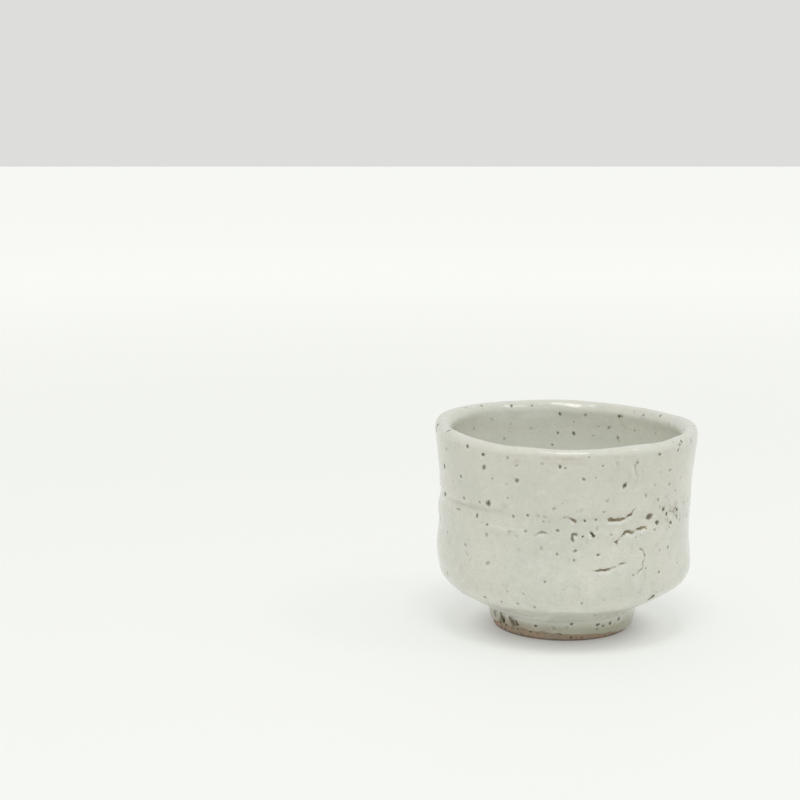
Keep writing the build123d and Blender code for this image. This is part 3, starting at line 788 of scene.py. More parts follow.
def sinkSpecks(coat):
    spec = speckForm
    for count, (x, y, width, dark) in enumerate(speckSpots):
        across, upDown = fromSpot(coat["flat"], x, y)
        width *= spec["draw"]
        turn, stretch = spec["turn"] * count, 1.0 + spec["stretch"] * (spec["shuffle"] * count % 1.0)
        away = np.hypot((across * math.cos(turn) + upDown * math.sin(turn)) / stretch,
                        (upDown * math.cos(turn) - across * math.sin(turn)) * math.sqrt(stretch))
        near = coat["shown"] & (away < spec["near"])
        rag = noiseOn(coat, near, [(spec["rag"] * width, spec["ragSize"] * width, spec["ragSeed"])])
        spot = near * dark * (1.0 - smoothStep(*spec["fade"], (away + rag) / width))
        # a pale rim just below each speck: painted glint
        rim = near * bell(away / width, spec["rimAt"], spec["rimReach"]) * (upDown < 0)
        coat["lift"] -= spec["sink"] * spot
        deepen(coat, "ironSpot", spot)
        deepen(coat, "milkyAndPaintedLight", spec["paintedRimGlint"] * dark * rim)


footGlaze = {  # where the coat ran down to the foot, as azimuth and height in mm
    "runEdge": [(-180, 8.5), (-150, 7.6), (-136, 7.5), (-120, 7.3), (-114, 7.2), (-107, 8.6), (-102, 11.0),
                (-98, 12.0), (-88, 12.2), (-82, 11.6), (-74, 9.0), (-62, 7.4), (-45, 6.8), (-20, 6.6),
                (20, 9.5), (60, 8.2), (100, 10.8), (140, 7.8), (180, 8.5)],
    "top": 16.0, "patches": [(1.0, 3.2, 10), (0.6, 1.1, 11)], "edgePatch": 0.25, "edgeRange": (-0.7, 0.5),
    "step": 0.11, "bead": {"above": 0.4, "reach": 0.6, "rise": 0.07},
    # the right and far-left shares of the tone darken the foot's sides: painted shade
    "toneRange": (3.0, 6.8), "tonePatch": 0.3, "tone": 0.85, "rightPaintedShade": 0.45, "farLeftPaintedShade": 0.5,
    "right": (-40, 0.55, 0.97), "left": (205, 0.15, 0.9), "farLeft": (188, 0.72, 0.98),
    "thinRange": (4.0, 6.0), "thinPatch": 0.5, "thin": 0.14, "thinVary": 0.35, "thinLeft": 0.5,
    # the roll and the fold patch lighten the glaze in the junction above the foot: painted light, the roll
    # also on pale thick glaze
    "junctionPaleAndLight": {"below": 0.7, "reach": 1.5, "azimuth": -116, "spread": 36, "milk": 0.5},
    "foldPaintedLight": {"azimuth": -113, "spread": 13, "height": 10.6, "reach": 1.3, "amount": 0.4},
    "hem": 0.95, "hemReach": 0.55, "hemVary": 0.35,
}


def runDown(coat):  # thinner below the edge where the thick coat stopped, and toned towards the ring; painted shade darkens its sides and painted light lightens the junction
    spec, bead, junctionPaleAndLight, pale = footGlaze, footGlaze["bead"], footGlaze["junctionPaleAndLight"], footGlaze["foldPaintedLight"]
    outside, height = coat["outside"], coat["height"]

    def facing(side):  # 1 where the wall faces an azimuth
        azimuth, low, high = spec[side]
        return smoothStep(low, high, np.cos(coat["angle"] - math.radians(azimuth)))

    patch = noiseOn(coat, outside & (height < spec["top"]), spec["patches"])
    above = height - np.interp(coat["turn"], *zip(*spec["runEdge"])) - spec["edgePatch"] * patch
    coat["lift"] -= spec["step"] * outside * (1.0 - smoothStep(*spec["edgeRange"], above)) * coat["calm"]
    coat["lift"] += outside * bead["rise"] * bell(above, bead["above"], bead["reach"])
    tone = outside * (1.0 - smoothStep(*spec["toneRange"], height + spec["tonePatch"] * patch))
    # darker on the right and far-left sides: painted shade
    tone *= spec["tone"] + spec["rightPaintedShade"] * facing("right") + spec["farLeftPaintedShade"] * facing("farLeft")
    coat["footToneAndShade"] = tone
    onFoot = outside * (1.0 - smoothStep(*spec["thinRange"], height + spec["thinPatch"] * patch))
    thin = spec["thin"] + spec["thinVary"] * patch + spec["thinLeft"] * facing("left")
    hem = outside * np.exp(-np.maximum(coat["fromLine"], 0.0)
                           / (spec["hemReach"] + spec["hemVary"] * np.clip(patch, -1.0, 1.0)))
    deepen(coat, "thinGlazeAndShade", onFoot * np.clip(thin, 0.0, 1.0))
    deepen(coat, "thinGlazeAndShade", spec["hem"] * hem)
    # lighter where the coat rolls into the junction and on the fold patch: painted light, partly pale thick
    # glaze
    rolled = bell(above, -junctionPaleAndLight["below"], junctionPaleAndLight["reach"]) * bell(coat["turn"], junctionPaleAndLight["azimuth"], junctionPaleAndLight["spread"])
    deepen(coat, "milkyAndPaintedLight", outside * junctionPaleAndLight["milk"] * rolled)
    deepen(coat, "milkyAndPaintedLight", outside * pale["amount"] * hump(coat, pale))


lipTones = {  # runs past the crest in mm
    "patches": [(1.0, 3.5, 25), (0.5, 1.3, 26)], "blotch": 1.6, "blotchMost": 2.0, "front": (-94, 24),
    "crestRange": (-1.6, -1.1), "crestLag": 0.6, "crestPatch": 0.25, "crestEnd": (1.8, 4.2),
    "pale": 0.25, "paleVary": 0.5, "under": (-1.9, 0.5), "underLeast": 0.35, "thin": 0.3,
    # the stain and the under band darken the wall below the lip's roll: painted shadow
    "stain": {"azimuth": -102, "spread": 22, "height": 49.3, "reach": 0.9, "amount": 0.2},
    # the lining patch and the two lining shares lighten the inside of the cup: painted light, the patch a
    # painted reflection
    "lining": {"azimuth": 108, "spread": 36, "past": 3.9, "reach": 2.3, "amount": 0.62},
    "liningPaintedLight": 0.10, "lowInsidePaintedLight": 0.5, "floorRange": (40.0, 47.0),
}


def toneLip(coat):  # painted light on the crest and inner bevel, a brownish painted shadow below it in front, and the milky lining lightened as painted light
    spec, stain, lining, past = lipTones, lipTones["stain"], lipTones["lining"], coat["past"]
    patch = noiseOn(coat, coat["onLip"], spec["patches"])
    blotch = np.clip(1.0 + spec["blotch"] * patch, 0.0, spec["blotchMost"])
    front = bell(coat["turn"], *spec["front"])
    late = spec["crestLag"] * (1.0 - front) + spec["crestPatch"] * patch
    crest = smoothStep(*spec["crestRange"], past + late)
    crest *= 1.0 - smoothStep(*spec["crestEnd"], past)
    # band under the lip's roll, strongest in front: painted shadow
    under = bell(past, *spec["under"]) * (spec["underLeast"] + (1.0 - spec["underLeast"]) * front)
    # darker strip under the lip in front: painted shadow
    deepen(coat, "thinGlazeAndShade", coat["outside"] * stain["amount"] * hump(coat, stain) * blotch)
    deepen(coat, "thinGlazeAndShade", coat["outside"] * spec["thin"] * under * blotch)
    # the inside is lightened, more towards its floor: painted light
    lowInsidePaintedLight = spec["lowInsidePaintedLight"] * (1.0 - smoothStep(*spec["floorRange"], coat["height"]))
    deepen(coat, "milkyAndPaintedLight", coat["lining"] * lining["amount"] * hump(coat, lining))
    deepen(coat, "milkyAndPaintedLight", coat["lining"] * (spec["liningPaintedLight"] + lowInsidePaintedLight))
    # pale crest and inner bevel: painted light on the lip's lit top
    deepen(coat, "milkyAndPaintedLight", coat["shown"] * spec["pale"] * crest * (1.0 + spec["paleVary"] * patch))


def buildGlazeCoat():
    sheet = glazeSheet()
    coat = layCoat(sheet)
    places = raggedPlaces(coat)
    thickenCoat(coat)
    turnBand(coat)
    openCracks(coat, places)
    slideFolds(coat, places)
    burstSkin(coat)
    pitPatch(coat)
    sinkSpecks(coat)
    runDown(coat)
    toneLip(coat)
    lift = np.maximum(coat["lift"], glazeCoat["leastLift"] * (coat["fromEdge"] > 0))
    lift = np.where(coat["hidden"], glazeCoat["backLift"], lift)
    radius = np.maximum(coat["radius"] + coat["out"] * lift, 0.0)
    points = shapedCup(coat["angle"], radius, coat["height"] + coat["upward"] * lift)
    soft = handShape["rimSoft"]  # the rim's highest places are eased under the cap
    easeFrom = cadBox[1][2] / metresPerMillimetre - handShape["rimCap"] - soft
    over = points[:, 2] - easeFrom
    points[:, 2] = np.where(over > 0, easeFrom + soft * np.tanh(over / soft), points[:, 2])
    return closedMesh("glazeCoat", sheet, points, {key: coat[key] for key in glazeMarks})


glazePiece = buildGlazeCoat()


footClay = {  # mm; a layer of noise has its share, size and seed
    "columns": 240, "hiddenStep": 5.0, "shownStep": 0.28, "shownTop": 3.6, "rowGap": 0.2, "ringCut": 1.2,
    "rough": [(0.05, 0.55, 7), (0.035, 1.6, 8)], "sink": 0.03, "roughFade": 0.6, "ringFlat": 0.35,
}


def claySection():  # from the middle of the foot hollow, round the ring and over the lip to the floor
    edge, footRadius = cupForm["ringEdgeRound"], cupForm["footRadius"]
    ringInside = footRadius - cupForm["ringWidth"]
    recess, outside = (points[points[:, 1] > edge * footClay["ringCut"]]
                       for points in (recessSection(), outsideSection()))
    return np.concatenate([
        recess,
        arcPoints((ringInside + edge, edge), edge, 180, 270),
        np.linspace((ringInside + edge, 0.0), (footRadius - edge, 0.0), sectionSteps["ring"]),
        arcPoints((footRadius - edge, edge), edge, 270, 360),
        outside,
        insideSection(),
    ])


def buildClayBody():
    spec = footClay
    clay = sectionTable(claySection())
    shown = clay["run"][clay["height"] < spec["shownTop"]]
    first, last = shown[0], shown[-1]
    marks = bendMarks(clay, spec["hiddenStep"])
    marks = np.concatenate([marks[marks < first - spec["rowGap"]], stepMarks(first, last, spec["shownStep"]),
                            marks[marks > last + spec["rowGap"]]])
    sheet = sheetGrid(marks, spec["columns"])
    flat = flatPlaces(sheet)
    angle, run = flat[:, 0] / sheetScale, flat[:, 1]
    radius, height, out, upward = readSection(clay, run)
    near = np.flatnonzero((run > first) & (run < last))
    lift = np.zeros(len(angle))
    lift[near] = noiseLayers(placeOnCup(angle, radius, height)[near], spec["rough"])
    fade = smoothStep(0.0, spec["roughFade"], run - first) * smoothStep(0.0, spec["roughFade"], last - run)
    lift = (lift - spec["sink"]) * fade
    flatRing = smoothStep(0.0, spec["ringFlat"], height)
    points = shapedCup(angle, np.maximum(radius + out * lift, 0.0), height + upward * lift * flatRing)
    points[:, 2] = np.maximum(points[:, 2], 0.0)
    return closedMesh("clayBody", sheet, points, {})


clayPiece = buildClayBody()


recessCoat = {  # mm
    "thickness": 0.4, "columns": 150, "step": 0.7, "hiddenStep": 4.0, "edgeRows": [0.0, 0.1, 0.3],
    "firstRow": 0.6, "line": 1.4, "lineWaves": [(4, 0.8, 0.15), (9, 0.0, 0.09)], "edgeRound": 0.5,
    "lumps": [(0.05, 3.0, 9)], "calmMiddle": 3.0, "backLift": 0.02,
}


def buildRecessCoat():
    spec = recessCoat
    clay = sectionTable(recessSection())
    edge = np.interp(-spec["line"], -clay["height"], clay["run"])
    marks = np.concatenate([-bendMarks(clay, spec["hiddenStep"])[:0:-1] * edge / clay["run"][-1],
                            spec["edgeRows"], stepMarks(spec["firstRow"], edge, spec["step"])])
    sheet = sheetGrid(marks, spec["columns"])
    flat = flatPlaces(sheet)
    angle, mark = flat[:, 0] / sheetScale, flat[:, 1]
    end = edge + waves(angle, spec["lineWaves"])
    run = end * (1.0 - np.abs(mark) / edge)
    radius, height, out, upward = readSection(clay, run)
    fromEdge = np.clip((end - run) / spec["edgeRound"], 0.0, 1.0)
    lumps = noiseLayers(placeOnCup(angle, radius, height), spec["lumps"])
    lift = spec["thickness"] * roundedEdge(fromEdge)
    lift += lumps * fromEdge * smoothStep(0.0, spec["calmMiddle"], radius)
    lift = np.where(mark < 0.0, spec["backLift"], lift)
    points = shapedCup(angle, np.maximum(radius + out * lift, 0.0), height + upward * lift)
    return closedMesh("recessCoat", sheet, points, {})


recessPiece = buildRecessCoat()


# small helpers for the node trees
def addNode(tree, kind, inputs=None, **settings):
    node = tree.nodes.new(kind)
    for key, value in settings.items():
        setattr(node, key, value)
    for key, value in (inputs or {}).items():
        if isinstance(value, bpy.types.NodeSocket):
            tree.links.new(value, node.inputs[key])
        else:
            node.inputs[key].default_value = value
    return node


def addMath(tree, operation, *values):
    return addNode(tree, "ShaderNodeMath", dict(enumerate(values)), operation=operation).outputs[0]


def times(tree, *values):
    return addMath(tree, "MULTIPLY", *values)


def addRamp(tree, value, low, high, start=0.0, end=1.0):  # smooth ramp from start to end
    inputs = {"Value": value, "From Min": low, "From Max": high, "To Min": start, "To Max": end}
    return addNode(tree, "ShaderNodeMapRange", inputs, interpolation_type="SMOOTHSTEP").outputs["Result"]


def mixColour(tree, factor, first, second):  # a colour is a socket, or red, green and blue
    # sockets 6 and 7 of a mix node are its colours, and 4 and 5 its vectors
    first, second = ((*tone, 1.0) if isinstance(tone, tuple) else tone for tone in (first, second))
    return addNode(tree, "ShaderNodeMix", {0: factor, 6: first, 7: second}, data_type="RGBA").outputs[2]


def addSocket(tree, label, way, kind):
    return tree.interface.new_socket(name=label, in_out=way, socket_type="NodeSocket" + kind)


def groupEnds(tree):
    return tree.nodes.new("NodeGroupInput").outputs, tree.nodes.new("NodeGroupOutput").inputs


def newGroup(name, inputs, outputs):
    group = bpy.data.node_groups.new(name, "ShaderNodeTree")
    for label, value in inputs.items():
        addSocket(group, label, "INPUT", "Float").default_value = value
    for label, kind in outputs.items():
        addSocket(group, label, "OUTPUT", kind)
    return group, *groupEnds(group)


def joinUp(tree, source, target):
    tree.links.new(source, target)


def objectPlace(tree):
    return addNode(tree, "ShaderNodeTexCoord").outputs["Object"]


def placeAxis(tree, place, axis):
    return addNode(tree, "ShaderNodeSeparateXYZ", {"Vector": place}).outputs[axis]


def placeNoise(tree, place, scale, detail=3.0, rough=0.5):
    inputs = {"Vector": place, "Scale": scale, "Detail": detail, "Roughness": rough}
    return addNode(tree, "ShaderNodeTexNoise", inputs).outputs["Fac"]


def grainCells(tree, place, scale):  # distance to each grain, and three numbers that are its own
    cells = addNode(tree, "ShaderNodeTexVoronoi", {"Vector": place, "Scale": scale})
    own = addNode(tree, "ShaderNodeSeparateColor", {"Color": cells.outputs["Color"]}).outputs
    return cells.outputs["Distance"], own


def addBump(tree, shader, height, distance, strength):
    bump = addNode(tree, "ShaderNodeBump", {"Height": height, "Distance": distance, "Strength": strength})
    joinUp(tree, bump.outputs["Normal"], shader.inputs["Normal"])


clayTones = {  # colours, and ramps as from and to
    "grey": (0.42, 0.34, 0.26), "toasted": (0.57, 0.355, 0.24), "dark": (0.11, 0.08, 0.055),
    "pale": (0.55, 0.49, 0.40), "burnt": (0.08, 0.055, 0.035), "dust": (0.20, 0.15, 0.11),
    "patches": (150.0, 4.0, 0.6), "toast": (0.36, 0.66), "darkFew": (0.70, 0.95), "paleFew": (0.76, 0.98),
    "grainEdge": (0.55, 0.25), "coarser": 0.4, "burntFew": (0.52, 0.8), "burntEdge": (0.5, 0.2),
    "fine": (4200.0, 4.0, 0.65), "dustRamp": (0.38, 0.7, 0.0, 0.45),
    "darkShare": 0.55, "paleShare": 0.45, "burntShare": 0.85, "fineHeight": 0.6, "paleHeight": 0.4,
}


def grainGroup():  # coarse fired clay: toasted and grey patches, dark and pale grains
    tones = clayTones
    group, given, result = newGroup("clayGrain", {"Grains Per Metre": 2400.0, "Toast": 0.7},
                                    {"Colour": "Color", "Height": "Float"})
    place = objectPlace(group)
    toast = addRamp(group, placeNoise(group, place, *tones["patches"]), *tones["toast"])
    colour = mixColour(group, times(group, toast, given["Toast"]), tones["grey"], tones["toasted"])
    distance, own = grainCells(group, place, given["Grains Per Metre"])
    edge = addRamp(group, distance, *tones["grainEdge"])
    dark = times(group, addRamp(group, own["Red"], *tones["darkFew"]), edge)
    pale = times(group, addRamp(group, own["Green"], *tones["paleFew"]), edge)
    colour = mixColour(group, times(group, dark, tones["darkShare"]), colour, tones["dark"])
    colour = mixColour(group, times(group, pale, tones["paleShare"]), colour, tones["pale"])
    distance, own = grainCells(group, place, times(group, given["Grains Per Metre"], tones["coarser"]))
    edge = addRamp(group, distance, *tones["burntEdge"])
    burnt = times(group, addRamp(group, own["Blue"], *tones["burntFew"]), edge)
    colour = mixColour(group, times(group, burnt, tones["burntShare"]), colour, tones["burnt"])
    fine = placeNoise(group, place, *tones["fine"])
    colour = mixColour(group, addRamp(group, fine, *tones["dustRamp"]), colour, tones["dust"])
    height = addMath(group, "ADD", times(group, fine, tones["fineHeight"]),
                     times(group, pale, tones["paleHeight"]))
    joinUp(group, colour, result["Colour"])
    joinUp(group, height, result["Height"])
    return group


mottleTones = {  # colours, noise as scale, detail and roughness, and ramps as from and to
    "cool": (0.625, 0.645, 0.56), "cream": (0.685, 0.68, 0.60), "blush": (0.71, 0.65, 0.58),
    "milk": (0.78, 0.785, 0.71), "dull": (0.46, 0.47, 0.40), "peel": (0.40, 0.41, 0.34),
    "grey": (0.36, 0.35, 0.29), "clouds": (75.0, 3.0, 0.55), "cloudRamp": (0.33, 0.68),
    "blushShift": (0.31, 0.17, 0.23), "blushes": (48.0, 3.0, 0.6), "blushRamp": (0.52, 0.74, 0.0, 0.4),
    "milks": (430.0, 5.0, 0.62), "milkRamp": (0.50, 0.78, 0.0, 0.55), "dullRamp": (0.46, 0.28, 0.0, 0.38),
    "peels": (1500.0, 3.0, 0.6), "peelRamp": (0.52, 0.36, 0.0, 0.16), "skin": (900.0, 3.0, 0.55),
    "roughRamp": (0.3, 0.75, 0.26, 0.14),
    "specks": [(340.0, 0.58, 0.20), (680.0, 0.62, 0.21)],  # cells a metre, rarity, size in cells
    "speckRarest": 0.95, "speckLeast": 0.05, "speckFade": (1.0, 0.3),
    "wobble": 0.0006, "wobbleScale": 5.0, "wobbleDetail": 2.0,
}


def speckMask(group, place, cells, rarity, size):
    tones = mottleTones
    wobble = addNode(group, "ShaderNodeTexNoise", {"Vector": place, "Scale": cells * tones["wobbleScale"],
                                                   "Detail": tones["wobbleDetail"]})
    bent = addNode(group, "ShaderNodeMix", {0: tones["wobble"], 4: place, 5: wobble.outputs["Color"]},
                   data_type="VECTOR").outputs[1]
    distance, own = grainCells(group, bent, cells)
    reach = addMath(group, "ADD", times(group, own["Green"], size), tones["speckLeast"])
    spot = addRamp(group, addMath(group, "DIVIDE", distance, reach), *tones["speckFade"])
    return times(group, spot, addRamp(group, own["Red"], rarity, tones["speckRarest"]))


def mottleGroup():  # milky glaze: warm and cool clouds, pooled pale spots, iron specks and a satin skin
    tones = mottleTones
    group, given, result = newGroup(
        "glazeMottle", {"Warmth": 1.0, "Specks": 1.0, "Greyness": 0.0},
        {"Colour": "Color", "Speck": "Float", "Roughness": "Float", "Height": "Float"})
    place = objectPlace(group)
    clouds = placeNoise(group, place, *tones["clouds"])
    drift = addNode(group, "ShaderNodeMapping", {"Vector": place, "Location": tones["blushShift"]}).outputs[0]
    blush = addRamp(group, placeNoise(group, drift, *tones["blushes"]), *tones["blushRamp"])
    milk, peel = (placeNoise(group, place, *tones[key]) for key in ("milks", "peels"))
    colour = mixColour(group, addRamp(group, clouds, *tones["cloudRamp"]), tones["cool"], tones["cream"])
    for factor, tone in ((times(group, blush, given["Warmth"]), "blush"),
                         (addRamp(group, milk, *tones["milkRamp"]), "milk"),
                         (addRamp(group, milk, *tones["dullRamp"]), "dull"),
                         (addRamp(group, peel, *tones["peelRamp"]), "peel"), (given["Greyness"], "grey")):
        colour = mixColour(group, factor, colour, tones[tone])
    speck = addMath(group, "MAXIMUM", *(speckMask(group, place, *cells) for cells in tones["specks"]))
    joinUp(group, colour, result["Colour"])
    joinUp(group, times(group, speck, given["Specks"]), result["Speck"])
    joinUp(group, addRamp(group, milk, *tones["roughRamp"]), result["Roughness"])
    joinUp(group, placeNoise(group, place, *tones["skin"]), result["Height"])
    return group


clayGrain, glazeMottle = grainGroup(), mottleGroup()
print("finishes grouped")


def newMaterial(name):
    material = bpy.data.materials.new(name)
    material.use_nodes = True
    return material, material.node_tree, material.node_tree.nodes["Principled BSDF"]


def addGroup(tree, group, **values):
    node = addNode(tree, "ShaderNodeGroup", node_tree=group)
    for label, value in values.items():
        node.inputs[label].default_value = value
    return node.outputs


glazeFinish = {  # colours, ramps as from and to, levels in metres, and a bump's distance and strength
    "crackGrains": 1700.0, "bump": (0.00016, 0.6), "coatRoughness": 0.07,
    "foot": (0.37, 0.37, 0.262), "footShare": 0.6, "upper": (0.61, 0.57, 0.50),
    "upperRamp": (0.020, 0.046, 0.0, 0.3), "thin": (0.37, 0.275, 0.20), "thinRamp": (0.0, 1.0, 0.0, 0.74),
    "milkyAndPaintedLight": (0.87, 0.885, 0.835), "milkyShare": 0.9,
    "speckShare": 0.62, "rust": (0.23, 0.22, 0.155), "rustRamp": (0.0, 0.55, 0.0, 0.7),
    "iron": (0.045, 0.044, 0.031), "ironRamp": (0.3, 1.0, 0.0, 0.9),
    # hollow is the painted shade deep in the exposed clay of the cracks
    "crack": (0.30, 0.272, 0.165), "crackShare": 0.75, "hollow": (0.06, 0.053, 0.031),
    "crackShadeNoise": (1100.0, 2.0), "crackShadeRamp": (0.44, 0.64, 0.0, 0.5), "bareRamp": (0.15, 0.75),
    "bareRough": 0.5, "shineRamp": (0.25, 0.85, 1.0, 0.2), "satinMilk": (0.06, 0.28),
    "satinFront": (0.0, -0.02), "coatRamp": (0.0, 1.0, 0.4, 0.12),
}


def whiteGlazeMaterial():
    finish = glazeFinish
    material, tree, shader = newMaterial("crawledWhiteGlaze")
    mottle = addGroup(tree, glazeMottle)
    grain = addGroup(tree, clayGrain, **{"Grains Per Metre": finish["crackGrains"]})
    iron, bare, thin, milkyAndPaintedLight, foot = (addNode(tree, "ShaderNodeAttribute", attribute_name=key).outputs["Fac"]
                                     for key in glazeMarks)
    place = objectPlace(tree)
    spot = addMath(tree, "MAXIMUM", iron, times(tree, mottle["Speck"], finish["speckShare"]))
    # noise spots of painted shade in the exposed clay, for the cracks' depth
    crackShadeNoise = addRamp(tree, placeNoise(tree, place, *finish["crackShadeNoise"]), *finish["crackShadeRamp"])
    crack = mixColour(tree, finish["crackShare"], grain["Colour"], finish["crack"])
    crack = mixColour(tree, crackShadeNoise, crack, finish["hollow"])
    colour = mottle["Colour"]
    # the foot tone carries painted shade on the foot's sides, the thin glaze painted shadow under the lip and
    # in a crease, the milky share painted light and glints
    for factor, tone in ((times(tree, foot, finish["footShare"]), finish["foot"]),
                         (addRamp(tree, placeAxis(tree, place, "Z"), *finish["upperRamp"]), finish["upper"]),
                         (addRamp(tree, thin, *finish["thinRamp"]), finish["thin"]),
                         (times(tree, milkyAndPaintedLight, finish["milkyShare"]), finish["milkyAndPaintedLight"]),
                         (addRamp(tree, spot, *finish["rustRamp"]), finish["rust"]),
                         (addRamp(tree, spot, *finish["ironRamp"]), finish["iron"]),
                         (addRamp(tree, bare, *finish["bareRamp"]), crack)):
        colour = mixColour(tree, factor, colour, tone)
    joinUp(tree, colour, shader.inputs["Base Color"])
    rough = addMath(tree, "ADD", mottle["Roughness"], times(tree, bare, finish["bareRough"]))
    joinUp(tree, rough, shader.inputs["Roughness"])
    addBump(tree, shader, mottle["Height"], *finish["bump"])
    # the gloss is weaker on specks, in cracks and on the front where the crest is painted pale
    shine = addRamp(tree, addMath(tree, "MAXIMUM", spot, bare), *finish["shineRamp"])
    satin = times(tree, addRamp(tree, milkyAndPaintedLight, *finish["satinMilk"]),
                  addRamp(tree, placeAxis(tree, place, "Y"), *finish["satinFront"]))
    joinUp(tree, times(tree, shine, addRamp(tree, satin, *finish["coatRamp"])), shader.inputs["Coat Weight"])
    shader.inputs["Coat Roughness"].default_value = finish["coatRoughness"]
    return material


clayFinish = {  # dirt and painted contact shade along the ring's lowest edge, levels in metres
    "wornNoise": (420.0, 2.0), "wornSway": 0.0006, "ringEdgeDirtAndShadeRamp": (0.0011, 0.0004, 0.0, 0.7),
    "ringEdgeDirtAndShade": (0.10, 0.07, 0.05), "bump": (0.0002, 0.8), "roughRamp": (0.2, 0.8, 0.92, 0.78),
}


def bareClayMaterial():
    finish = clayFinish
    material, tree, shader = newMaterial("toastedStoneware")
    grain = addGroup(tree, clayGrain)
    place = objectPlace(tree)
    sway = times(tree, placeNoise(tree, place, *finish["wornNoise"]), finish["wornSway"])
    level = addMath(tree, "ADD", placeAxis(tree, place, "Z"), sway)
    # darker along the ring's lowest edge: dirt and painted contact shade
    colour = mixColour(tree, addRamp(tree, level, *finish["ringEdgeDirtAndShadeRamp"]), grain["Colour"], finish["ringEdgeDirtAndShade"])
    joinUp(tree, colour, shader.inputs["Base Color"])
    addBump(tree, shader, grain["Height"], *finish["bump"])
    joinUp(tree, addRamp(tree, grain["Height"], *finish["roughRamp"]), shader.inputs["Roughness"])
    return material


recessFinish = {"greyness": 0.25, "speck": (0.05, 0.045, 0.03), "bump": (0.00015, 0.6)}


def recessGlazeMaterial():
    material, tree, shader = newMaterial("thinFootGlaze")
    mottle = addGroup(tree, glazeMottle, Greyness=recessFinish["greyness"])
    colour = mixColour(tree, mottle["Speck"], mottle["Colour"], recessFinish["speck"])
    joinUp(tree, colour, shader.inputs["Base Color"])
    joinUp(tree, mottle["Roughness"], shader.inputs["Roughness"])
    addBump(tree, shader, mottle["Height"], *recessFinish["bump"])
    return material


clayGrit = {  # sizes in mm
    "perSquareMetre": 900000.0, "smallest": (0.05, 0.05, 0.04), "largest": (0.17, 0.15, 0.11), "seed": 11,
    "fullTurn": 6.28, "turnSeed": 3, "columns": 240, "lowest": 0.45, "belowLine": 0.1, "leastTop": 0.6,
    "noise": (700.0, 1.0), "tintRange": (0.35, 0.62), "dark": (0.14, 0.095, 0.065),
    "pale": (0.52, 0.45, 0.36), "roughness": (0.85, 0.55),
}


def gritMaterial():
    spec = clayGrit
    material, tree, shader = newMaterial("feldsparGrit")
    tint = placeNoise(tree, objectPlace(tree), *spec["noise"])
    colour = mixColour(tree, addRamp(tree, tint, *spec["tintRange"]), spec["dark"], spec["pale"])
    joinUp(tree, colour, shader.inputs["Base Color"])
    joinUp(tree, addRamp(tree, tint, *spec["tintRange"], *spec["roughness"]), shader.inputs["Roughness"])
    return material


def gritTree(material):
    tree = bpy.data.node_groups.new("clayGrit", "GeometryNodeTree")
    kinds = {"Geometry": "Geometry", "Grains Per Square Metre": "Float", "Smallest": "Vector",
             "Largest": "Vector", "Seed": "Int"}
    sockets = {label: addSocket(tree, label, "INPUT", kind) for label, kind in kinds.items()}
    addSocket(tree, "Geometry", "OUTPUT", "Geometry")
    given, result = groupEnds(tree)

    def randomVector(least, most, seed):
        inputs = {0: least, 1: most, "Seed": seed}
        return addNode(tree, "FunctionNodeRandomValue", inputs, data_type="FLOAT_VECTOR").outputs[0]

    points = addNode(tree, "GeometryNodeDistributePointsOnFaces",
                     {"Mesh": given["Geometry"], "Density": given["Grains Per Square Metre"],
                      "Seed": given["Seed"]})
    grain = addNode(tree, "GeometryNodeMeshIcoSphere", {"Radius": 1.0, "Subdivisions": 1})
    size = randomVector(given["Smallest"], given["Largest"], given["Seed"])
    turn = randomVector((0.0, 0.0, 0.0), (clayGrit["fullTurn"],) * 3, clayGrit["turnSeed"])
    grains = addNode(tree, "GeometryNodeInstanceOnPoints",
                     {"Points": points.outputs["Points"], "Instance": grain.outputs["Mesh"],
                      "Rotation": turn, "Scale": size})
    real = addNode(tree, "GeometryNodeRealizeInstances", {"Geometry": grains.outputs[0]})
    painted = addNode(tree, "GeometryNodeSetMaterial", {"Geometry": real.outputs[0], "Material": material})
    joinUp(tree, painted.outputs[0], result["Geometry"])
    return tree, sockets


def bareBands():  # the two strips of bare clay that the grit stands in
    spec, columns = clayGrit, clayGrit["columns"]
    angles = np.linspace(0.0, 2.0 * math.pi, columns + 1)
    taper, recessTaper = (math.tan(math.radians(cupForm[key])) for key in ("footTaper", "recessTaper"))
    ringInside = cupForm["footRadius"] - cupForm["ringWidth"]
    line = glazeStart(angles) * math.cos(math.atan(taper)) - spec["belowLine"]
    inner = np.full_like(angles, recessCoat["line"] - spec["belowLine"])
    lowest = np.full_like(angles, spec["lowest"])
    points, faces = [], []
    for base, slope, top in ((cupForm["footRadius"], taper, np.maximum(line, spec["leastTop"])),
                             (ringInside, -recessTaper, inner)):
        first = len(points)
        for level in (lowest, top):
            points += list(shapedCup(angles, base + slope * level, level) * metresPerMillimetre)
        faces += [(i, i + 1, i + columns + 2, i + columns + 1) for i in range(first, first + columns)]
    return points, faces


def buildGrit():
    mesh = bpy.data.meshes.new("gritGround")
    points, faces = bareBands()
    mesh.from_pydata([tuple(point) for point in points], [], faces)
    ground = linkPiece("gritGround", mesh)
    tree, sockets = gritTree(gritMaterial())
    scatter = ground.modifiers.new("clayGrit", "NODES")
    scatter.node_group = tree
    values = {"Grains Per Square Metre": clayGrit["perSquareMetre"], "Seed": clayGrit["seed"],
              "Smallest": [size * metresPerMillimetre for size in clayGrit["smallest"]],
              "Largest": [size * metresPerMillimetre for size in clayGrit["largest"]]}
    for label, value in values.items():
        scatter[sockets[label].identifier] = value
    graph = bpy.context.evaluated_depsgraph_get()
    grains = bpy.data.meshes.new_from_object(ground.evaluated_get(graph), depsgraph=graph)
    grains.name = "footGrit"
    bpy.data.objects.remove(ground)
    print("footGrit triangles", len(grains.polygons))
    return linkPiece("footGrit", grains)


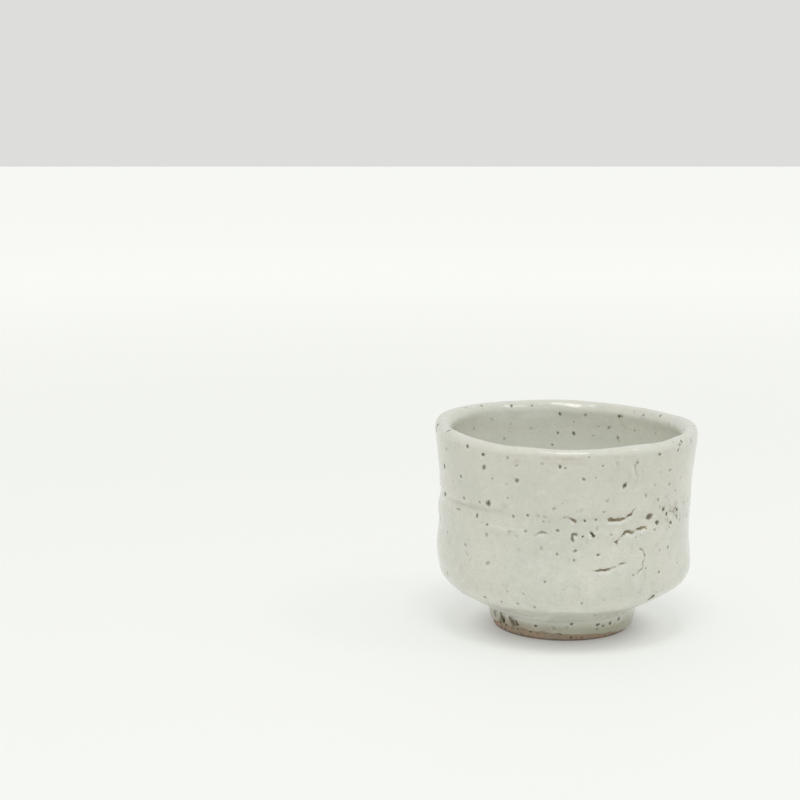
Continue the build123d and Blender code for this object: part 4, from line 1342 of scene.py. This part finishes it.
gritPiece = buildGrit()
glazePiece.data.materials.append(whiteGlazeMaterial())
clayPiece.data.materials.append(bareClayMaterial())
recessPiece.data.materials.append(recessGlazeMaterial())
print("materials set")


stageFloor = {  # metres
    # the far floor is painted lighter as painted light; the glow is painted light, weaker next to the foot as
    # painted contact shadow
    "half": 6.0, "drop": 5e-5, "near": (0.60, 0.605, 0.59), "farPaintedLight": (0.80, 0.80, 0.775), "fade": (0.15, 1.2),
    "paintedFloorGlow": (0.985, 1.0, 0.98), "paintedGlowContactShade": (0.0175, 0.027, 0.2, 0.33), "roughness": 0.6,
}


def buildFloor():
    spec, half = stageFloor, stageFloor["half"]
    mesh = bpy.data.meshes.new("paleFloor")
    corners = ((-half, -half), (half, -half), (half, half), (-half, half))
    mesh.from_pydata([(*corner, -spec["drop"]) for corner in corners], [], [(0, 1, 2, 3)])
    floor = linkPiece("paleFloor", mesh)
    material, tree, shader = newMaterial("paleFloorPaint")
    away = addNode(tree, "ShaderNodeVectorMath", {0: objectPlace(tree)}, operation="LENGTH").outputs["Value"]
    # lighter far from the cup: painted light
    colour = mixColour(tree, addRamp(tree, away, *spec["fade"]), spec["near"], spec["farPaintedLight"])
    joinUp(tree, colour, shader.inputs["Base Color"])
    shader.inputs["Roughness"].default_value = spec["roughness"]
    # the floor glows though it is no lamp, less next to the foot: painted light and painted contact shadow
    shader.inputs["Emission Color"].default_value = (*spec["paintedFloorGlow"], 1.0)
    joinUp(tree, addRamp(tree, away, *spec["paintedGlowContactShade"]), shader.inputs["Emission Strength"])
    mesh.materials.append(material)


buildFloor()

studioLights = {  # places and sizes in metres, power in watts
    "lamps": [
        {"name": "overheadLamp", "place": (-0.02, -0.35, 1.02), "size": 0.35, "power": 2.7},
        {"name": "rimLamp", "place": (0.57, -0.19, 0.80), "size": 0.14, "power": 0.4},
    ],
    "aim": (0, 0, 0.03), "sky": (0.99, 1.0, 0.97, 1.0), "skyStrength": 0.73,
}


def buildLights():
    for light in studioLights["lamps"]:
        lamp = bpy.data.lights.new(light["name"], "AREA")
        lamp.size = light["size"]
        lamp.energy = light["power"]
        shine = linkPiece(light["name"], lamp)
        shine.location = light["place"]
        shine.rotation_mode = "QUATERNION"
        shine.rotation_quaternion = (Vector(studioLights["aim"]) - shine.location).to_track_quat("-Z", "Y")
    world = bpy.data.worlds.new("paleStudio")
    world.use_nodes = True
    bpy.context.scene.world = world
    sky = world.node_tree.nodes["Background"]
    sky.inputs["Color"].default_value = studioLights["sky"]
    sky.inputs["Strength"].default_value = studioLights["skyStrength"]


buildLights()

photoCamera = {  # metres and degrees, the lens in mm
    "place": (-0.04158, -0.426, 0.124), "tilt": 81.17, "lens": 77.445, "sensor": 36.0, "nearest": 0.01,
}


def buildCamera():
    lens = bpy.data.cameras.new("photoCamera")
    lens.lens = photoCamera["lens"]
    lens.sensor_width = photoCamera["sensor"]
    lens.clip_start = photoCamera["nearest"]
    camera = linkPiece("photoCamera", lens)
    camera.location = photoCamera["place"]
    camera.rotation_euler = (math.radians(photoCamera["tilt"]), 0.0, 0.0)
    bpy.context.scene.camera = camera
    bpy.context.scene.view_settings.view_transform = "Standard"


buildCamera()
print("stage, lights and camera set")

for piece, nodes, slotName in ((glazePiece, ("outer_glaze", "inner_glaze"), "glaze"),
                               (clayPiece, ("stoneware_body",), "clay"),
                               (recessPiece, ("foot_recess_glaze",), "glaze"), (gritPiece, (), "clay")):
    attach(piece, "root")
    if nodes:
        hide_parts(*nodes)
